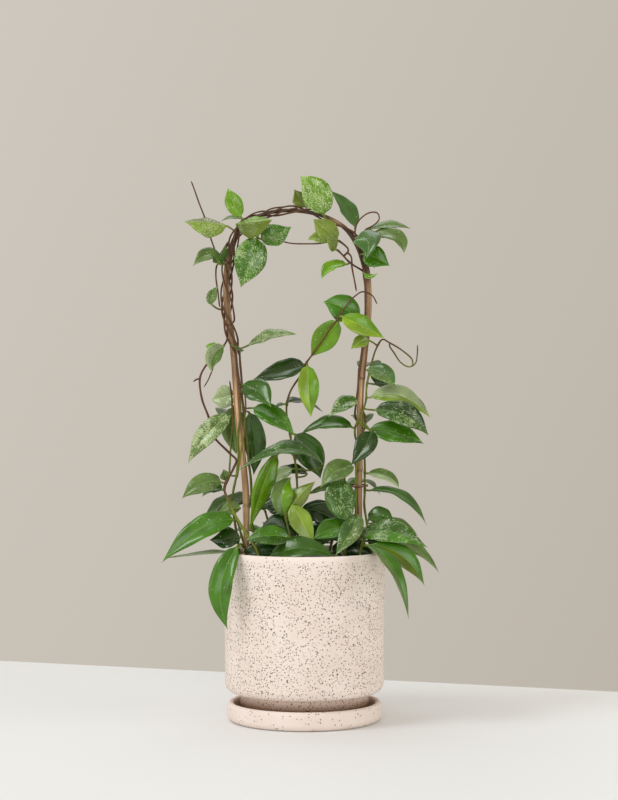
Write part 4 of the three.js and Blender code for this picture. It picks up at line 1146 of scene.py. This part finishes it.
leafy_stem("right_arch_vine", 7, foot_beside(HOOP_LENGTH - 150, 240), [
    [winding(HOOP_LENGTH - 150, 462, 240), 1.35, 0.85],
    [[[46, 454, -9], [38, 462, -12], [33, 467, -13]], 1, 0.9],
    [[[44, 467, -9], [36, 475, -12], [32, 477, -12]], 1, 0.9],
    [[[17, 474, -7], [0, 473, -2], [-14, 474, 3], [-21.5, 475.5, 5]], 0.85, 0.7],
    [[[46.5, 461, -9], [47.5, 450, -7], [49.5, 438, -5], [52, 426, -3]], 0.9, 0.8],
], [
    [[19, 502, -6], [11, 525, -12], [-5, 541, -9], 31, 5, "bright", 0.95, 8],
    [[2, 510, 4], [-3.5, 517, 8], [-10.5, 528, 10], 20, 20, "olive", 0.05],
    [[50.5, 490, 4], [41.5, 509.5, 7], [25.5, 526.5, 8], 22, 45, "blue", 0.08],
    [[33, 477, -13], [20.5, 488, -17], [8.5, 498, -19], 22, 10, "moss", 0.1],
    [[29.5, 474, -12], [14.5, 479, -13], [3, 477, -14], 18, 50, "lime", 0.2],
    [[31, 468, -14], [27.5, 473, -21], [21.5, 478.5, -26], 14, 20, "moss", 0.1],
    [[42, 452.5, -9], [26, 450.5, -12], [17, 437.5, -16], 16, 50, "bright", 0.2],
    [[55, 296, 10], [58, 300, 36], [56, 286, 62], 24, 90, "mature", 0.3],
    [[60, 455, 9], [65, 460, 30], [70, 448, 52], 20, 90, "rich", 0.2],
    [[57, 348, 9], [66, 354, 34], [76, 342, 58], 22, 90, "mature", 0.35],
])

leafy_stem("right_shoulder_vine", 8, foot_beside(HOOP_LENGTH - 150, 120), [
    [[*winding(HOOP_LENGTH - 150, 600, 120), [50.5, 486, -6], [54, 496, -7], [65, 504, -8], [73, 504, -9],
      [75, 498, -9], [71, 493, -8], [60, 487, -10]], 1.3, 0.7],
], [
    [[61.5, 486.5, -5], [85.5, 491.5, -6], [106.5, 488, -8], 19, 62, "grey", 0.08],
    [[66, 482.5, -11], [91.5, 480.5, -21], [99.5, 463, -27], 20, 50, "grey", 0.1],
    [[52, 479, -14], [63, 476, -28], [62, 458, -38], 29, 15, "blue", 0.2],
    [[59.5, 463, -8], [71, 459, -13], [85.5, 451, -15], 24, 20, "rich", 0.25],
    [[60, 443, -8], [66, 440, -11], [73, 444, -13], 9, 50, "bright", 0.1],
    [[53.5, 397, -5], [36.5, 410, -5], [18.5, 415, -2], 29, 15, "rich", 0.15, 6],
    [[53, 315.5, -9], [41, 313.5, -15], [23.5, 299.5, -19], 22, 52, "mature", 0.8],
])

leafy_stem("right_green_vine", 9, foot_beside(HOOP_LENGTH - 150, 0), [
    [[*winding(HOOP_LENGTH - 150, 710, 0), [71, 366, -10], [78, 378, -13], [84, 375, -15], [98, 366, -17],
      [108, 357, -18], [107.5, 350.5, -18], [103, 350, -18]], 1.35, 0.75],
    [[[85, 371, -14], [89, 365, -14], [96.5, 354.5, -15], [105, 350.3, -16], [111, 353.5, -17],
      [113, 363, -17], [113, 372, -17]], 0.8, 0.6],
], [
    [[63.5, 377, -10], [55.5, 375, -15], [46.1, 367.6, -18], 14, 15, "lime", 0.05],
    [[62, 347, -9], [79.5, 343, -20], [90.2, 328.3, -28], 20, 25, "blue/grey", 0.1],
    [[66, 343, 5], [74.5, 337, 9], [82.5, 330, 12], 14, 30, "deep", 0.05],
    [[66, 319.5, -6], [97.5, 320.5, -9], [127, 298, -11], 24, 40, "pale/lime", 0.1],
    [[68, 333, 4], [103, 322.5, 6], [123.5, 304, 9], 18, 66, "dark", 0.05],
    [[70, 307, -14], [100.5, 302, -26], [124.3, 281, -31], 26, 25, "dark/mature", 0.6],
    [[64.5, 287.5, -7], [93, 283.5, -15], [119.5, 273, -20], 27, 38, "rich", 0.3],
    [[48, 289.5, -7], [21.5, 294, -3], [-5.5, 281, 2], 20, 50, "mature", 0.08],
    [[66, 286, -18], [60.5, 271, -30], [45.7, 251, -34], 22, 25, "dark", 0.12],
    [[63, 243.5, -6], [83, 240.5, -9], [94.5, 228.5, -12], 16, 50, "grey/pale", 0.4],
    [[65, 226.5, -7], [98, 221, -15], [122.3, 191.5, -20], 17, 66, "blue", 0.12],
], brown=(330, 380))

leafy_stem("right_front_shoot", 10, [40, -24], [
    [[[42, 178, -24], [46, 200, -22], [42, 225, -17], [40, 240, -14]], 1.4, 1],
], [
    [[36, 240, -18], [36.5, 216, -31], [48.5, 190.5, -33], 31, 5, "mature", 0.72, 8],
    [[49, 249.5, -15], [32, 246, -23], [16, 229, -28], 24, 30, "grey", 0.12],
    [[54, 202, -28], [45, 183, -47], [30.5, 161, -60], 22, 40, "grey/blue", 0.6],
    [[44, 190, -27], [27, 188, -37], [7.3, 176, -43], 26, 40, "rich", 0.15],
    [[38, 184, -20], [20, 203, -14], [-3, 207, -8], 28, 20, "deep", 0.03],
    [[39, 232, -14], [21, 229, -9], [2, 222, -4], 17, 60, "grey", 0.05],
    [[37, 163, -20], [54, 168, -21], [68, 161, -20], 22, 40, "deep", 0.05],
])

leafy_stem("right_rim_shoot", 11, [54, -36], [
    [[[57, 170, -36], [61, 182, -30], [63, 194, -24]], 1.5, 1],
    [[[61, 171, -46], [62, 172, -54]], 1.2, 1],
], [
    [[56, 181, -33], [87, 185, -50], [123.5, 169, -58], 27, 35, "mature/rich", 0.66],
    [[64, 197, -22], [76, 201.5, -26], [90, 192, -32], 22, 45, "mature", 0.06],
    [[67, 193.5, -18], [92, 193.5, -15], [113.5, 181.5, -15], 19, 60, "grey", 0.1],
    [[66, 180, -28], [106, 171, -30], [134.5, 144.4, -30], 24, 60, "grey", 0.15],
    [[62, 176, -36], [84.5, 172, -43], [105.5, 156.5, -47], 22, 50, "dark", 0.08],
    [[66, 172, -48], [98.5, 160, -60], [120.1, 131, -64], 22, 35, "rich/olive", 0.04],
    [[61, 172, -60], [89, 148, -84], [104.2, 97, -88], 22, 50, "rich/grey", 0.08],
])

leafy_stem("back_left_shoot", 12, [-30, 38], [
    [[[-31, 170, 40], [-34, 188, 38], [-40, 208, 30]], 1.4, 1],
], [
    [[-28, 176, 46], [-30, 192, 78], [-34, 168, 108], 26, 90, "mature", 0.3],
    [[-38, 178, 40], [-62, 188, 58], [-84, 170, 74], 25, 80, "rich", 0.2],
    [[-42, 208, 36], [-50, 218, 58], [-58, 204, 82], 24, 90, "mature", 0.7],
    [[-45, 210, 28], [-66, 216, 30], [-86, 198, 34], 22, 70, "mature", 0.15],
    [[-28, 188, 34], [-14, 198, 30], [4, 192, 26], 22, 60, "dark", 0.1],
    [[-29, 165, 34], [-45, 169, 36], [-60, 164, 31], 22, 40, "dark", 0.1],
])

leafy_stem("back_right_shoot", 13, [24, 36], [
    [[[26, 170, 38], [30, 188, 36], [38, 212, 28], [44, 228, 22]], 1.4, 1],
], [
    [[18, 176, 46], [8, 194, 80], [2, 174, 112], 26, 90, "mature", 0.6],
    [[32, 178, 44], [44, 188, 74], [56, 162, 98], 25, 85, "rich", 0.2],
    [[36, 176, 38], [66, 186, 54], [92, 170, 66], 24, 80, "mature", 0.15],
    [[40, 214, 34], [46, 226, 58], [50, 208, 84], 24, 90, "mature", 0.8],
    [[44, 230, 26], [60, 236, 40], [76, 222, 54], 22, 80, "rich", 0.1],
    [[32, 196, 32], [18, 206, 38], [4, 200, 46], 22, 80, "dark", 0.1],
    [[28, 164, 32], [43, 168, 35], [58, 163, 31], 22, 40, "dark", 0.1],
])


# Stage, lights and camera
TABLE = Sizes(left=-3.0, right=3.0, near=-3.2, far_left=1.336, far_right=-0.741, thick=0.04)
LIGHT_AIM = Vector((0, 0, 0.2))
DAYLIGHT = (0.88, 0.94, 1.0)
SKYLIGHT = (0.84, 0.92, 1.0)
SENSOR_WIDTH = 36
LENS = 85.5

# Name, place and size in metres, power in watts, colour
SOFTBOXES = (
    ("key", (-1.25, -0.75, 1.95), (0.75, 0.75), 15.5, DAYLIGHT),
    ("overhead", (-0.1, 0.4, 1.5), (0.8, 0.6), 3.5, DAYLIGHT),
    ("front", (-0.1, -2.4, 1.0), (1.4, 1.0), 12.5, DAYLIGHT),
    ("side", (-1.9, -0.9, 0.8), (1.1, 1.1), 5, SKYLIGHT),
    ("right", (1.9, -0.8, 0.6), (1.2, 1.0), 9, DAYLIGHT),
)


def build_floor():
    """A pale table top that ends behind the plant."""
    corners = [(TABLE.left, TABLE.near), (TABLE.right, TABLE.near), (TABLE.right, TABLE.far_right),
               (TABLE.left, TABLE.far_left)]
    points = [(x, y, z) for z in (0, -TABLE.thick) for x, y in corners]
    faces = [(0, 1, 2, 3), (7, 6, 5, 4), (0, 4, 5, 1), (1, 5, 6, 2), (2, 6, 7, 3), (3, 7, 4, 0)]
    mesh = bpy.data.meshes.new("table")
    mesh.from_pydata(points, [], faces)
    mesh.materials.append(floor_material)
    add_object("table", mesh)


def build_lights():
    for name, place_m, size, power, colour in SOFTBOXES:
        data = bpy.data.lights.new(name, "AREA")
        data.shape = "RECTANGLE"
        data.size, data.size_y = size
        data.energy = power
        data.color = colour
        lamp = add_object(name, data)
        lamp.location = place_m
        lamp.rotation_euler = (LIGHT_AIM - Vector(place_m)).to_track_quat("-Z", "Y").to_euler()
    bpy.context.scene.world = make_wall()
    bpy.context.scene.view_settings.view_transform = "Standard"


def build_camera():
    """The camera stands where the sight lines of the places meet."""
    data = bpy.data.cameras.new("camera")
    data.lens = LENS
    data.sensor_width = SENSOR_WIDTH
    data.clip_start, data.clip_end = 0.05, 20
    camera = add_object("camera", data)
    camera.location = (SIGHT.across * MM, -SIGHT.away * MM, SIGHT.up * MM)
    camera.rotation_euler = (math.pi / 2, 0, 0)
    bpy.context.scene.camera = camera


build_floor()
build_lights()
build_camera()
